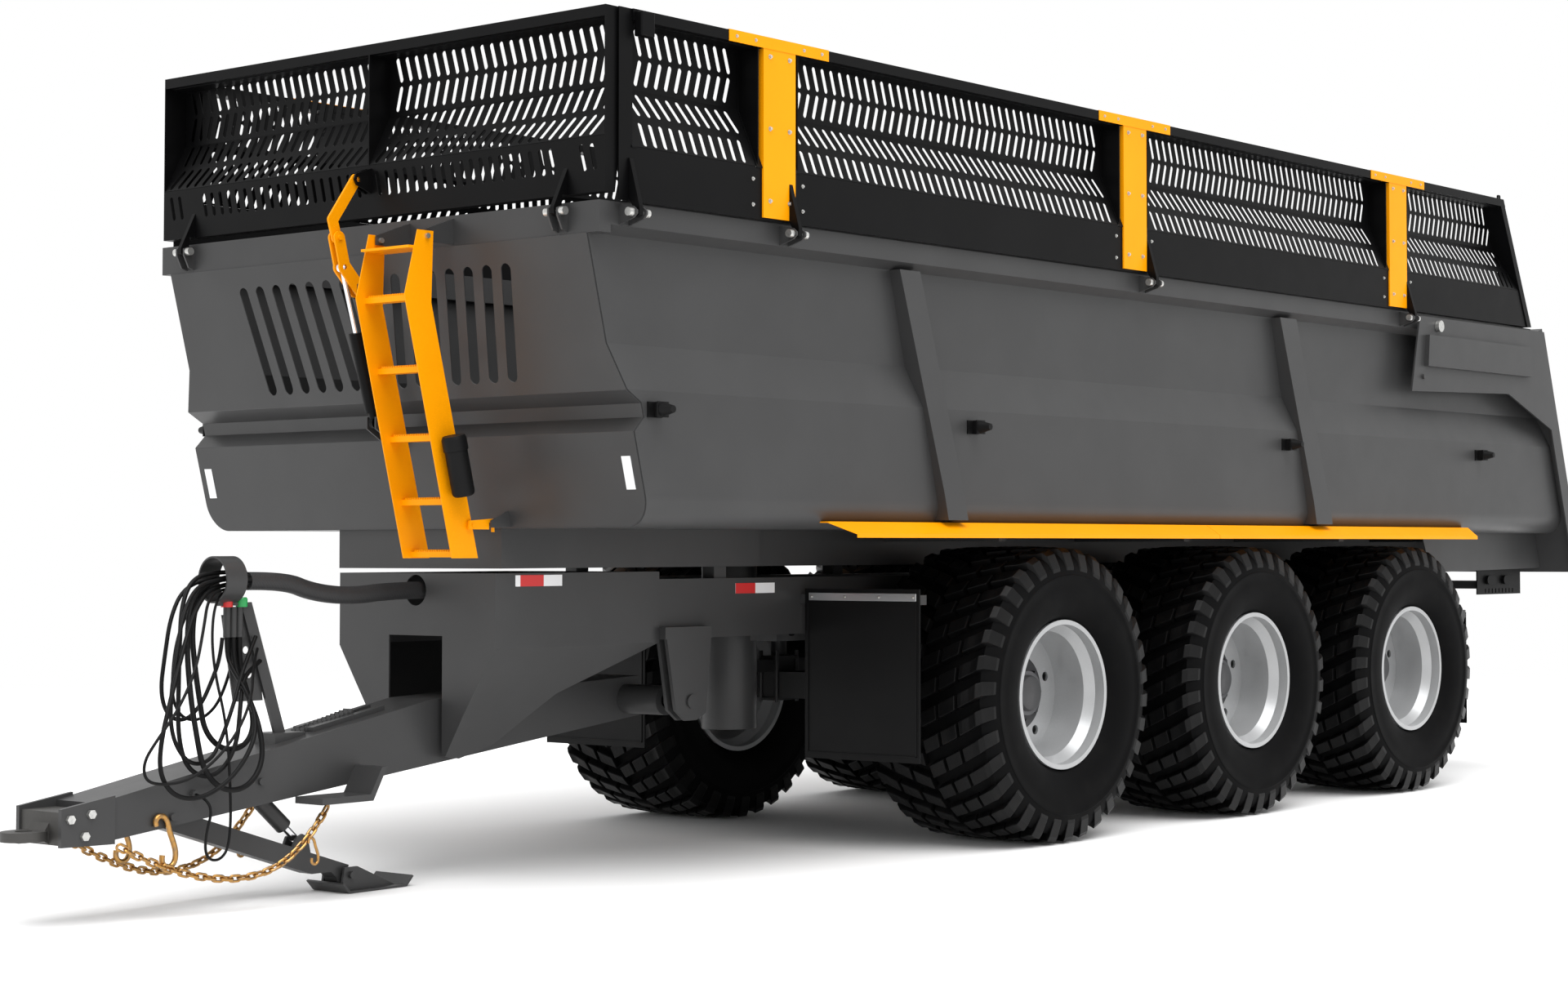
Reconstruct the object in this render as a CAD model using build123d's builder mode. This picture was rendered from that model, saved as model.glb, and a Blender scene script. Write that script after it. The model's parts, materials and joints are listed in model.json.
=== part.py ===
from build123d import *
import math
import os

# A three-axle tipping trailer for grain and silage, in millimetres. X runs to the rear, Z up, and the
# left side is -Y. The pieces are drawn with X = 0 at the middle axle and written out moved along X, so
# that the origin is under the middle of the whole trailer, on the ground.

os.makedirs("parts", exist_ok=True)

# ---- Driving dimensions ----------------------------------------------------------------------------
# Wheels and axles
tyre_radius = 795
tyre_width = 850
tyre_wall = 45
rim_radius = 400
rim_half_width = 370
track_half = 1172
axle_pitch = 1935
axle_square = 150
hub_radius = 120
spindle_radius = 50
nut_circle = 335
nut_count = 10
running_gap = 0.05

# Hopper section, seen from behind
floor_z = 1677
floor_corner = 140
band_low_z = 2285
band_high_z = 2490
rail_low_z = 2970
rail_high_z = 3110
lower_half = 1566
upper_half = 1489
rail_half = 1558.5
rail_inner = 1440
sheet = 5

# Hopper length: the front wall and the tailgate both lean
front_top_x = -5427
front_lean = 0.2477
groove_low_z = 2100
groove_high_z = 2285
groove_depth = 76
door_top_x = 3676
door_top_z = 3090
door_low_z = 1400
door_lean = 0.3373
door_depth = 75
door_gap = 3
arm_inner = 1608
arm_plate = 12
pivot_x = 2175
pivot_z = 3030

# Extension panels above the rails
panel_low_z = 3115
panel_high_z = 3972
panel_band_z = 3360
panel_fold_z = 3640
panel_face = 1590
panel_recess = 125
panel_front_x = -5262
panel_rear_low_x = 3600
panel_rear_high_x = 3190
bar_depth = 60
bar_height = 50
slot_length = 122
slot_width = 25
slot_pitch = 65
hinge_y = 1640
hinge_z = 3060
hinge_pin = 10
post_xs = (-4290, -1320, 1690)
post_width = 225
lug_xs = (-5270, -4210, -1190, 1810)
flap_face_x = -5409
flap_half = 1576
flap_low_z = 3148
flap_band_z = 3396
flap_hinge_x = -5470
flap_hinge_z = 3070
flap_hinge_y = 1330

# Chassis
rail_y = 500
rail_wide = 100
chassis_low_z = 1130
chassis_high_z = 1430
chassis_front_x = -4015
chassis_rear_x = 3950
tip_x = 3850
tip_z = 1500
tip_pin = 30
subframe_low_z = 1490
subframe_half = 580
subframe_front_x = -5090
housing_x = -5105
housing_half = 556
housing_high_z = 1468
hose_hole_z = 1386
hose_hole = 74

# Drawbar, parking stand and hitch
drawbar_x = -3830
drawbar_z = 815
drawbar_pin = 35
beam_half = 150
beam_wall = 15
eye_x = -7210
eye_z = 392
eye_radius = 95
eye_hole = 35
eye_thick = 40
stand_x = -6585
stand_z = 430
foot_x = -5550
foot_z = 78
stand_pin = 16
jack_top = (-6120, 550)
jack_low = (-5800, 252)

# Tipping ram
ram_x = -2900
ram_z = 1150
ram_low_z = 610
ram_high_z = 1610
ram_radii = (150, 137, 123.5, 110, 96.5, 83)
ram_gap = 1
ram_wall = 11.5

# Ladder and front flap linkage
ladder_rails = (-626, -300)
ladder_pivot = (-5600, 3000)
flap_pin = (-5485, 3320)
joint_pin = (-5596, 3036)
lever_pivot = (-5470, 2800)
rod_eye = (-5562, 2900)
jack_base = (-5358, 2180)

# The origin goes under the middle of the overall length.
overall_rear_x = (door_top_x + (door_top_z - door_low_z) * door_lean
                  + door_depth * math.cos(math.atan(door_lean)))
origin_shift = -(eye_x - eye_radius + overall_rear_x) / 2


# ---- Helpers ---------------------------------------------------------------------------------------
def save(piece, name, extra=()):
    """Label a finished sub-part, move it to the shared origin and write it, with any loose solids."""
    piece.part.label = name
    solids = list(piece.part.solids())
    for other in extra:
        solids += other.part.solids()
    moved = Compound(solids).moved(Location((origin_shift, 0, 0)))
    moved.label = name
    export_step(moved, f"parts/{name}.step")


def block(x, y, z, mode=Mode.ADD):
    """A rectangular block between a low and a high value on each axis."""
    middle = ((x[0] + x[1]) / 2, (y[0] + y[1]) / 2, (z[0] + z[1]) / 2)
    with Locations(middle):
        Box(x[1] - x[0], y[1] - y[0], z[1] - z[0], mode=mode)


def side_plate(outline, low, high, mode=Mode.ADD):
    """A flat plate seen from the side: an outline in X and Z, from low to high in Y."""
    with BuildSketch(Plane.XZ.offset(-high)) as face:
        with BuildLine():
            Polyline(*outline, close=True)
        make_face()
    extrude(face.sketch, amount=high - low, mode=mode)


def end_plate(outline, low, high, mode=Mode.ADD):
    """A flat plate seen from behind: an outline in Y and Z, from low to high in X."""
    with BuildSketch(Plane.YZ.offset(low)) as face:
        with BuildLine():
            Polyline(*outline, close=True)
        make_face()
    extrude(face.sketch, amount=high - low, mode=mode)


def round_y(x, z, radius, low, high, mode=Mode.ADD):
    """A round bar or hole along Y."""
    with Locations(Location((x, (low + high) / 2, z), (90, 0, 0))):
        Cylinder(radius, high - low, mode=mode)


def round_x(y, z, radius, low, high, mode=Mode.ADD):
    """A round bar or hole along X."""
    with Locations(Location(((low + high) / 2, y, z), (0, 90, 0))):
        Cylinder(radius, high - low, mode=mode)


def front_x(z):
    """Outer face of the leaning front wall at a height."""
    return front_top_x + (rail_low_z - z) * front_lean


def door_x(z):
    """Front face of the leaning tailgate at a height."""
    return door_top_x + (door_top_z - z) * door_lean


def wall_line():
    """The front wall seen from the side, from the floor to the rail, with its pressed groove."""
    third = (groove_high_z - groove_low_z) * 0.35
    low, high = groove_low_z + third, groove_high_z - third * 0.85
    return [
        (front_x(floor_z), floor_z),
        (front_x(groove_low_z), groove_low_z),
        (front_x(low) + groove_depth, low),
        (front_x(high) + groove_depth, high),
        (front_x(groove_high_z), groove_high_z),
        (front_x(rail_low_z), rail_low_z),
    ]


def between(a, b, share):
    """The point a share of the way from a to b."""
    return (a[0] + (b[0] - a[0]) * share, a[1] + (b[1] - a[1]) * share)


def thick_line(a, b, half, beyond=0):
    """The outline of a straight bar from a to b, half its depth each side."""
    length = math.dist(a, b)
    ux, uz = (b[0] - a[0]) / length, (b[1] - a[1]) / length
    start = (a[0] - ux * beyond, a[1] - uz * beyond)
    end = (b[0] + ux * beyond, b[1] + uz * beyond)
    return [
        (start[0] - uz * half, start[1] + ux * half),
        (end[0] - uz * half, end[1] + ux * half),
        (end[0] + uz * half, end[1] - ux * half),
        (start[0] + uz * half, start[1] - ux * half),
    ]


def rod_between(a, b, radius, y=0, mode=Mode.ADD):
    """A round bar from a to b, both in X and Z, at one Y."""
    length = math.dist(a, b)
    along = Vector((b[0] - a[0]) / length, 0, (b[1] - a[1]) / length)
    with BuildSketch(Plane(origin=(a[0], y, a[1]), z_dir=along)) as section:
        Circle(radius)
    extrude(section.sketch, amount=length, mode=mode)


def section_points(half_low, half_high, low_z, top_z):
    """The closed outline of the hopper, seen from behind."""
    return [
        (-half_high, top_z), (-half_high, band_high_z), (-half_low, band_low_z), (-half_low, low_z),
        (half_low, low_z), (half_low, band_low_z), (half_high, band_high_z), (half_high, top_z),
    ]


# ---- Wheels ----------------------------------------------------------------------------------------
def make_tyre(x, side):
    """A wide flotation tyre as a closed carcass of revolution with an open bead."""
    centre_y = side * track_half
    half = tyre_width / 2
    bead = rim_half_width - 8
    tread = half * 0.87
    with BuildPart() as tyre:
        with BuildSketch(Plane.YZ) as profile:
            with BuildLine():
                Polyline(
                    (-bead, rim_radius - 12), (-bead, rim_radius + 3), (-half + 25, rim_radius + 70),
                    (-half, (rim_radius + tyre_radius) / 2), (-half + 8, tyre_radius - 90),
                    (-tread, tyre_radius - 12), (-tread * 0.8, tyre_radius),
                    (tread * 0.8, tyre_radius), (tread, tyre_radius - 12),
                    (half - 8, tyre_radius - 90), (half, (rim_radius + tyre_radius) / 2),
                    (half - 25, rim_radius + 70), (bead, rim_radius + 3), (bead, rim_radius - 12),
                    (bead - 40, rim_radius - 12), (half - 25 - tyre_wall, rim_radius + 80),
                    (half - tyre_wall, (rim_radius + tyre_radius) / 2),
                    (tread - tyre_wall, tyre_radius - tyre_wall * 1.8),
                    (-tread + tyre_wall, tyre_radius - tyre_wall * 1.8),
                    (-half + tyre_wall, (rim_radius + tyre_radius) / 2),
                    (-half + 25 + tyre_wall, rim_radius + 80), (-bead + 40, rim_radius - 12),
                    close=True,
                )
            make_face()
        revolve(axis=Axis.Y)
    with BuildPart() as placed:
        add(tyre.part.moved(Location((x, centre_y, tyre_radius))))
    return placed


def make_rim(x, side):
    """The steel rim with its disc, the hub and drum, and the wheel nuts, all turning together."""
    seat = rim_radius - 13
    disc_y = side * 58
    with BuildPart() as rim:
        with BuildSketch(Plane.YZ) as profile:
            with BuildLine():
                Polyline(
                    (-rim_half_width, rim_radius), (-rim_half_width, seat - 12),
                    (-rim_half_width + 60, seat - 12), (-rim_half_width + 110, seat - 50),
                    (rim_half_width - 110, seat - 50), (rim_half_width - 60, seat - 12),
                    (rim_half_width, seat - 12), (rim_half_width, rim_radius),
                    (rim_half_width - 7, rim_radius), (rim_half_width - 7, seat),
                    (rim_half_width - 56, seat), (rim_half_width - 106, seat - 38),
                    (-rim_half_width + 106, seat - 38), (-rim_half_width + 56, seat),
                    (-rim_half_width + 7, seat), (-rim_half_width + 7, rim_radius),
                    close=True,
                )
            make_face()
            with Locations((disc_y, (hub_radius + seat - 50) / 2)):
                Rectangle(14, seat - 50 - hub_radius)
        revolve(axis=Axis.Y)
        with Locations(Location((0, disc_y, 0), (90, 0, 0))):
            with PolarLocations(nut_circle / 2 + 90, 5, start_angle=18):
                Cylinder(26, 60, mode=Mode.SUBTRACT)
    with BuildPart() as hub:
        inner, outer = side * -170, side * 130
        round_y(0, 0, hub_radius, min(inner, outer), max(inner, outer))
        with BuildSketch(Plane.XZ.offset(-side * -170)) as drum:
            Circle(hub_radius + 90)
        extrude(drum.sketch, amount=side * 130)
        bore_low, bore_high = side * -310, side * 60
        round_y(0, 0, spindle_radius + running_gap, min(bore_low, bore_high), max(bore_low, bore_high),
                mode=Mode.SUBTRACT)
    with BuildPart() as nuts:
        with Locations(Location((0, disc_y + side * 17, 0), (90, 0, 0))):
            with PolarLocations(nut_circle / 2, nut_count):
                Cylinder(16, 20)
    place = Location((x, side * track_half, tyre_radius))
    placed = []
    for piece in (rim, hub, nuts):
        with BuildPart() as moved_piece:
            add(piece.part.moved(place))
        placed.append(moved_piece)
    return placed


for side, side_name in ((-1, "left"), (1, "right")):
    for row in range(3):
        axle_x = (row - 1) * axle_pitch
        save(make_tyre(axle_x, side), f"tyre_{side_name}_{row + 1}")
        rim, *inner_pieces = make_rim(axle_x, side)
        save(rim, f"wheel_{side_name}_{row + 1}", inner_pieces)


# ---- Chassis ---------------------------------------------------------------------------------------
rail_out = rail_y + rail_wide / 2
rail_in = rail_y - rail_wide / 2
beam_end = track_half - 310
axle_top_z = tyre_radius + axle_square / 2
leaf_thick = 70
leaf_half_length = 640

with BuildPart() as chassis_frame:
    # Box-section main rails
    with BuildSketch(Plane.YZ.offset(chassis_front_x)) as rail_section:
        with Locations((-rail_y, (chassis_low_z + chassis_high_z) / 2)):
            Rectangle(rail_wide, chassis_high_z - chassis_low_z)
            Rectangle(rail_wide - 20, chassis_high_z - chassis_low_z - 24, mode=Mode.SUBTRACT)
    extrude(amount=chassis_rear_x - chassis_front_x)
    # Wear pads that the hopper frame rests on
    for pad_x in (-3600, -1500, 600, 2600):
        block((pad_x, pad_x + 90), (-rail_out + 10, -rail_in - 10), (chassis_high_z, subframe_low_z - 0.5))
    # Drawbar pivot brackets
    for low, high in ((-rail_out - 50, -rail_out - 30), (-rail_out + 5, -rail_out + 25)):
        side_plate([
            (chassis_front_x, chassis_low_z + 60), (drawbar_x + 150, chassis_low_z + 60),
            (drawbar_x + 110, drawbar_z - 60), (drawbar_x + 40, drawbar_z - 95),
            (drawbar_x - 40, drawbar_z - 95), (drawbar_x - 110, drawbar_z - 40),
        ], low, high)
    block((chassis_front_x, drawbar_x + 150), (-rail_out - 50, -rail_out),
          (chassis_low_z, chassis_low_z + 60))
    round_y(drawbar_x, drawbar_z, drawbar_pin, -rail_out - 62, -rail_in + 10)
    # Tipping hinge brackets with their pin
    for low, high in ((-rail_out - 16, -rail_out), (-rail_in, -rail_in + 16)):
        side_plate([
            (tip_x - 110, chassis_high_z - 120), (tip_x + 95, chassis_high_z - 120),
            (tip_x + 62, tip_z + 25), (tip_x + 25, tip_z + 62), (tip_x - 25, tip_z + 62),
            (tip_x - 62, tip_z + 25),
        ], low, high)
    round_y(tip_x, tip_z, tip_pin, -rail_out - 30, -rail_in + 30)
    # Ram trunnion brackets
    for low, high in ((-rail_in, -ram_radii[0] - 112), ):
        side_plate([
            (ram_x - 120, ram_z - 60), (ram_x + 120, ram_z - 60), (ram_x + 120, ram_z + 120),
            (ram_x - 120, ram_z + 120),
        ], low, high)
    round_y(ram_x, ram_z, 35 + running_gap, -rail_in - 1, -ram_radii[0] - 100, mode=Mode.SUBTRACT)
    # Spring hangers
    for row in range(3):
        axle_x = (row - 1) * axle_pitch
        for end in (-1, 1):
            hanger_x = axle_x + end * leaf_half_length
            side_plate([
                (hanger_x - 90, chassis_low_z), (hanger_x + 90, chassis_low_z),
                (hanger_x + 45, axle_top_z + 5), (hanger_x - 45, axle_top_z + 5),
            ], -rail_out - 14, -rail_out)
    # Mudflap arms and light bar stays
    block((-2942, -2892), (-1363, -rail_out), (1290, 1340))
    block((2792, 2842), (-1460, -rail_out), (1105, 1155))
    side_plate([(2792, 1155), (2842, 1155), (2842, 1200), (2792, 1200)], -rail_out - 20, -rail_out)
    block((3330, 3380), (-1290, -rail_out), (1290, 1340))
    block((3820, 3870), (-1290, -rail_out), (1290, 1340))
    mirror(about=Plane.XZ)
    # Cross members
    for cross_x in (-3520, -2330, -1000, 950, 2450, 3650):
        block((cross_x - 50, cross_x + 50), (-rail_in, rail_in), (chassis_low_z + 40, chassis_high_z - 60))
save(chassis_frame, "chassis_frame")

with BuildPart() as axle_beams:
    for row in range(3):
        axle_x = (row - 1) * axle_pitch
        block((axle_x - axle_square / 2, axle_x + axle_square / 2), (-beam_end, beam_end),
              (tyre_radius - axle_square / 2, axle_top_z))
        round_y(axle_x, tyre_radius, spindle_radius, -track_half - 50, track_half + 50)
save(axle_beams, "axle_beams")

with BuildPart() as suspension_units:
    for row in range(3):
        axle_x = (row - 1) * axle_pitch
        # Leaf pack, seated on the axle and held at both hangers
        block((axle_x - leaf_half_length, axle_x + leaf_half_length), (-rail_out, -rail_in),
              (axle_top_z + leaf_thick * 0.5, axle_top_z + leaf_thick))
        block((axle_x - leaf_half_length * 0.7, axle_x + leaf_half_length * 0.7), (-rail_out, -rail_in),
              (axle_top_z, axle_top_z + leaf_thick * 0.5))
        block((axle_x - 95, axle_x + 95), (-rail_out - 20, -rail_in + 20),
              (axle_top_z + leaf_thick, axle_top_z + leaf_thick + 20))
        # U-bolts round the axle and the pack
        for bolt_x in (axle_x - axle_square / 2 - 11, axle_x + axle_square / 2 + 11):
            for bolt_y in (-rail_out - 11, -rail_in + 11):
                with Locations((bolt_x, bolt_y, (tyre_radius - 100 + axle_top_z + leaf_thick + 50) / 2)):
                    Cylinder(11, axle_top_z + leaf_thick + 50 - tyre_radius + 100)
        block((axle_x - 95, axle_x + 95), (-rail_out - 20, -rail_in + 20),
              (tyre_radius - axle_square / 2 - 16, tyre_radius - axle_square / 2))
        # Hydraulic suspension cylinder between the pack and the rail
        with Locations((axle_x, -rail_y, (axle_top_z + leaf_thick + 20 + chassis_low_z) / 2)):
            Cylinder(45, chassis_low_z - axle_top_z - leaf_thick - 20)
    mirror(about=Plane.XZ)
save(suspension_units, "suspension_units")

with BuildPart() as mudflaps:
    block((-2950, -2942), (-1363, -588), (480, 1370))
    block((2842, 2850), (-1460, -690), (390, 1140))
    mirror(about=Plane.XZ)
save(mudflaps, "mudflaps")

light_x = (3270, 3930)
with BuildPart() as light_bars:
    block(light_x, (-1330, -1322), (1250, 1430))
    block(light_x, (-1322, -1290), (1422, 1430))
    for gusset_x in (3340, 3830):
        block((gusset_x, gusset_x + 8), (-1322, -1290), (1290, 1422))
    with BuildSketch(Plane.XZ.offset(1322)) as slots:
        with GridLocations(52, 1, 9, 1):
            with Locations(((light_x[0] + light_x[1]) / 2, 1275)):
                SlotOverall(34, 14, rotation=90)
    extrude(slots.sketch, amount=20, mode=Mode.SUBTRACT)
    # Marker lamps on the bars
    for lamp_x in (3450, 3700):
        with BuildSketch(Plane.XZ.offset(1330)) as lamp:
            with Locations((lamp_x, 1350)):
                SlotOverall(130, 60)
        extrude(lamp.sketch, amount=22)
    mirror(about=Plane.XZ)
save(light_bars, "light_bars")

# ---- Front housing over the drawbar ----------------------------------------------------------------
housing_wall = 8
housing_low_z = 1115


def housing_outline(inset):
    """The housing seen from the front, drawn in by a wall thickness and open below."""
    half, high = housing_half - inset, housing_high_z - inset
    low, knee, toe = housing_low_z + inset * 0.4, 340 - inset * 1.2, 190 - inset * 1.2
    return [
        (-half, high), (half, high), (half, low), (knee, 800), (toe, 560), (toe, 400), (-toe, 400),
        (-toe, 560), (-knee, 800), (-half, low),
    ]


with BuildPart() as front_housing:
    side_plate([
        (housing_x, housing_high_z), (chassis_front_x, housing_high_z), (chassis_front_x, housing_low_z),
        (-4560, 880), (-4830, 640), (-5010, 585), (housing_x, 600),
    ], -housing_half, housing_half)
    end_plate(housing_outline(0), housing_x, chassis_front_x, mode=Mode.INTERSECT)
    end_plate(housing_outline(housing_wall), housing_x + housing_wall, chassis_front_x,
              mode=Mode.SUBTRACT)
    # Opening that the drawbar beam comes out of, and the round hole for the hoses
    block((housing_x - 5, housing_x + 30), (-190, 190), (400, 1170), mode=Mode.SUBTRACT)
    round_x(0, hose_hole_z, hose_hole, housing_x - 5, housing_x + 30, mode=Mode.SUBTRACT)
save(front_housing, "front_housing")


# ---- Drawbar ---------------------------------------------------------------------------------------
def beam_top(x):
    """Height of the drawbar's top face."""
    return 521 + (x + 6940) * (871 - 521) / (6940 - 5127)


def beam_bottom(x):
    """Height of the drawbar's lower face."""
    return 349 + (x + 6940) * (722 - 349) / (6940 - 3800)


plate_y = 140
with BuildPart() as drawbar_beam:
    beam_rear = -3745
    side_plate([
        (-6960, beam_bottom(-6960)), (-6960, beam_top(-6960)), (-5127, beam_top(-5127)),
        (beam_rear, 930), (beam_rear, beam_bottom(beam_rear)),
    ], -beam_half, beam_half)
    side_plate([
        (-6900, beam_bottom(-6900) + beam_wall), (-6900, beam_top(-6900) - beam_wall),
        (-5127, beam_top(-5127) - beam_wall), (beam_rear + 20, 930 - beam_wall),
        (beam_rear + 20, beam_bottom(beam_rear) + beam_wall),
    ], -beam_half + beam_wall, beam_half - beam_wall, mode=Mode.SUBTRACT)
    # Pocket below, into which the parking stand folds
    side_plate([
        (-6720, 200), (-5080, 200), (-5080, beam_top(-5080) - beam_wall - 40),
        (-6720, beam_top(-6720) - beam_wall - 0.5),
    ], -beam_half + beam_wall, beam_half - beam_wall, mode=Mode.SUBTRACT)
    # Pins of the parking stand and its jack
    round_y(stand_x, stand_z, stand_pin, -beam_half - 14, beam_half + 14)
    round_y(*jack_top, stand_pin, -beam_half - 14, beam_half + 14)
    # Rear pivot tube
    round_y(drawbar_x, drawbar_z, 75, -rail_in + 25, rail_in - 25)
    round_y(drawbar_x, drawbar_z, drawbar_pin + running_gap, -rail_in, rail_in, mode=Mode.SUBTRACT)
    # Front plates that clamp the towing eye
    for low, high in ((-plate_y - 22, -plate_y), (plate_y, plate_y + 22)):
        side_plate([(-7140, 345), (-7140, 505), (-6880, 545), (-6880, 340)], low, high)
    # Serrated treads and the side step
    for tread_y in (-70, 30):
        side_plate([(-5770, beam_top(-5770)), (-5350, beam_top(-5350)), (-5350, beam_top(-5350) + 22),
                    (-5770, beam_top(-5770) + 22)], tread_y, tread_y + 40)
    side_plate([(-5930, 440), (-5640, 440), (-5560, 590), (-5590, 590), (-5655, 470), (-5930, 470)],
               -beam_half - 190, -beam_half)
save(drawbar_beam, "drawbar_beam")

hitch_bolt_places = ((-7100, 460), (-7030, 385), (-7000, 475))
with BuildPart() as tow_eye:
    block((-7130, -6965), (-plate_y, plate_y), (372 - 20, 490))
    with Locations((eye_x, 0, eye_z)):
        Cylinder(eye_radius, eye_thick)
    side_plate([(eye_x + 60, eye_z - 25), (-7125, eye_z - 40), (-7125, eye_z + 60),
                (eye_x + 60, eye_z + 20)],
               -60, 60)
    with Locations((eye_x, 0, eye_z)):
        Cylinder(eye_hole, 200, mode=Mode.SUBTRACT)
    for bolt_x, bolt_z in hitch_bolt_places:
        round_y(bolt_x, bolt_z, 12, -plate_y, plate_y, mode=Mode.SUBTRACT)
save(tow_eye, "tow_eye")

with BuildPart() as hitch_bolts:
    for bolt_x, bolt_z in hitch_bolt_places:
        round_y(bolt_x, bolt_z, 12, -plate_y, plate_y)
        for side in (-1, 1):
            with BuildSketch(Plane.XZ.offset(side * (plate_y + 22))) as head:
                with Locations((bolt_x, bolt_z)):
                    RegularPolygon(20, 6)
            extrude(head.sketch, amount=side * 15)
save(hitch_bolts, "hitch_bolts")

# Hose stand: a leaning post on the beam with a coupler plate and a strap ring at its top
ring_centre = (0, 1448)
ring_radius = 105
ring_wall = 8
ring_x = (-6275, -6165)
coupler_low_z = 1190
coupler_places = ((-6200, -5), (-6166, -5), (-6132, -5), (-6140, 29))
socket_place = (-6480, 520)
post_foot = (-5900, beam_top(-5900) + 14)
post_top = (-6094, 1337)
with BuildPart() as hose_stand:
    side_plate(thick_line(post_foot, post_top, 28), -8, 8)
    block((-5985, -5815), (-75, 75), (beam_top(-5985), beam_top(-5815) + 14))
    side_plate([(-5985, 600), (-5815, 600), (-5815, beam_top(-5815)), (-5985, beam_top(-5985))],
               -200, 200, mode=Mode.SUBTRACT)
    block((-6240, -6080), (-20, 20), (ring_centre[1] - ring_radius - 12, ring_centre[1] - ring_radius + 2))
    # Coupler plate with its holes, and the parked couplers
    side_plate([(-6150, 900), (-5990, 900), (-6040, 1290), (-6216, 1290)], 8, 16)
    for hole_x, hole_z in ((-6110, 960), (-6065, 1020), (-6130, 1060), (-6085, 1130)):
        round_y(hole_x, hole_z, 17, 7, 17, mode=Mode.SUBTRACT)
    for coupler_x, coupler_y in coupler_places:
        with Locations((coupler_x, coupler_y, (coupler_low_z + 1325) / 2)):
            Cylinder(16, 1325 - coupler_low_z)
    # Rolled strap ring that the hoses run through
    with BuildSketch(Plane.YZ.offset(ring_x[0])) as ring:
        with Locations(ring_centre):
            Circle(ring_radius)
            Circle(ring_radius - ring_wall, mode=Mode.SUBTRACT)
    extrude(ring.sketch, amount=ring_x[1] - ring_x[0])
with BuildPart() as cable_socket:
    round_y(*socket_place, 18, -beam_half - 22, -beam_half)
save(hose_stand, "hose_stand", [cable_socket])

chain_wire = 9
with BuildPart() as safety_chains:
    for side in (-1, 1):
        ends = [
            (-6870, side * 172, 330), (-6640, side * 205, 190), (-6270, side * 250, 125),
            (-5980, side * 262, 230), (-5840, side * 255, 415),
        ]
        with BuildLine() as route:
            FilletPolyline(*ends, radius=[300, 450, 260])
        with BuildSketch(Plane(origin=ends[0], z_dir=route.line % 0)) as link:
            Circle(chain_wire * 2)
        sweep(link.sketch, path=route.line)
save(safety_chains, "safety_chains")

# ---- Parking stand ---------------------------------------------------------------------------------
leg_half = 45
with BuildPart() as stand_leg:
    side_plate(thick_line((stand_x, stand_z), (foot_x, foot_z), leg_half, beyond=0), -leg_half, leg_half)
    round_y(stand_x, stand_z, leg_half, -leg_half, leg_half)
    round_y(stand_x, stand_z, stand_pin + running_gap, -100, 100, mode=Mode.SUBTRACT)
    # Flat end over the foot, relieved where the foot's front lip swings up
    side_plate([(foot_x - 400, -200), (foot_x + 200, -200), (foot_x + 200, 22), (foot_x - 35, 22),
                (foot_x - 60, 70), (foot_x - 88, 98), (foot_x - 200, 98), (foot_x - 400, 22)], -90, 90,
               mode=Mode.SUBTRACT)
    # Ears for the jack and the foot pin
    for low, high in ((-42, -28), (28, 42)):
        side_plate([(-5870, 190), (-5745, 150), (-5770, 270), (-5800, 285), (-5835, 270)], low, high)
    round_y(foot_x, foot_z, stand_pin, -leg_half - 50, leg_half + 50)
save(stand_leg, "stand_leg")

with BuildPart() as stand_foot:
    with BuildSketch(Plane.XZ.offset(-130)) as foot_side:
        with BuildLine():
            Polyline((-5640, 45), (-5600, 0), (-5260, 0), (-5220, 45), (-5228, 51), (-5266, 10), (-5594, 10),
                     (-5632, 51), close=True)
        make_face()
    extrude(foot_side.sketch, amount=260)
    for low, high in ((-leg_half - 32, -leg_half - 18), (leg_half + 18, leg_half + 32)):
        side_plate([(foot_x - 50, 10), (foot_x + 260, 10), (foot_x + 40, foot_z + 36),
                    (foot_x - 36, foot_z + 36)], low, high)
    round_y(foot_x, foot_z, stand_pin + running_gap, -leg_half - 40, leg_half + 40, mode=Mode.SUBTRACT)
save(stand_foot, "stand_foot")

jack_radius = 38
jack_bore = 32
jack_rod = 18
jack_length = math.dist(jack_top, jack_low)
jack_end = between(jack_top, jack_low, (jack_length - 105) / jack_length)
with BuildPart() as stand_cylinder_barrel:
    rod_between(between(jack_top, jack_low, 40 / jack_length), jack_end, jack_radius)
    round_y(*jack_top, 42, -32, 32)
    rod_between(between(jack_top, jack_low, 52 / jack_length), between(jack_top, jack_low, 0.98), jack_bore,
                mode=Mode.SUBTRACT)
    rod_between(between(jack_top, jack_low, 0.55), jack_end, jack_bore + 2)
    rod_between(between(jack_top, jack_low, 52 / jack_length), between(jack_top, jack_low, 0.98),
                jack_rod + 0.3, mode=Mode.SUBTRACT)
    round_y(*jack_top, stand_pin + running_gap, -60, 60, mode=Mode.SUBTRACT)
save(stand_cylinder_barrel, "stand_cylinder_barrel")

with BuildPart() as stand_cylinder_rod:
    rod_between(between(jack_top, jack_low, 0.4), between(jack_top, jack_low, 0.95), jack_rod)
    round_y(*jack_low, 26, -18, 18)
    round_y(*jack_low, 14, -19, 19, mode=Mode.SUBTRACT)
save(stand_cylinder_rod, "stand_cylinder_rod")

# ---- Hopper ----------------------------------------------------------------------------------------
front_cut = [(-6500, floor_z - 400), (front_x(floor_z - 400), floor_z - 400), *wall_line(),
             (front_top_x, 4200), (-6500, 4200)]
door_cut = [
    (door_x(900) - door_gap, 900), (6000, 900), (6000, 4200), (door_x(4200) - door_gap, 4200)]
hopper_x = (-5600, 4600)

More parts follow.
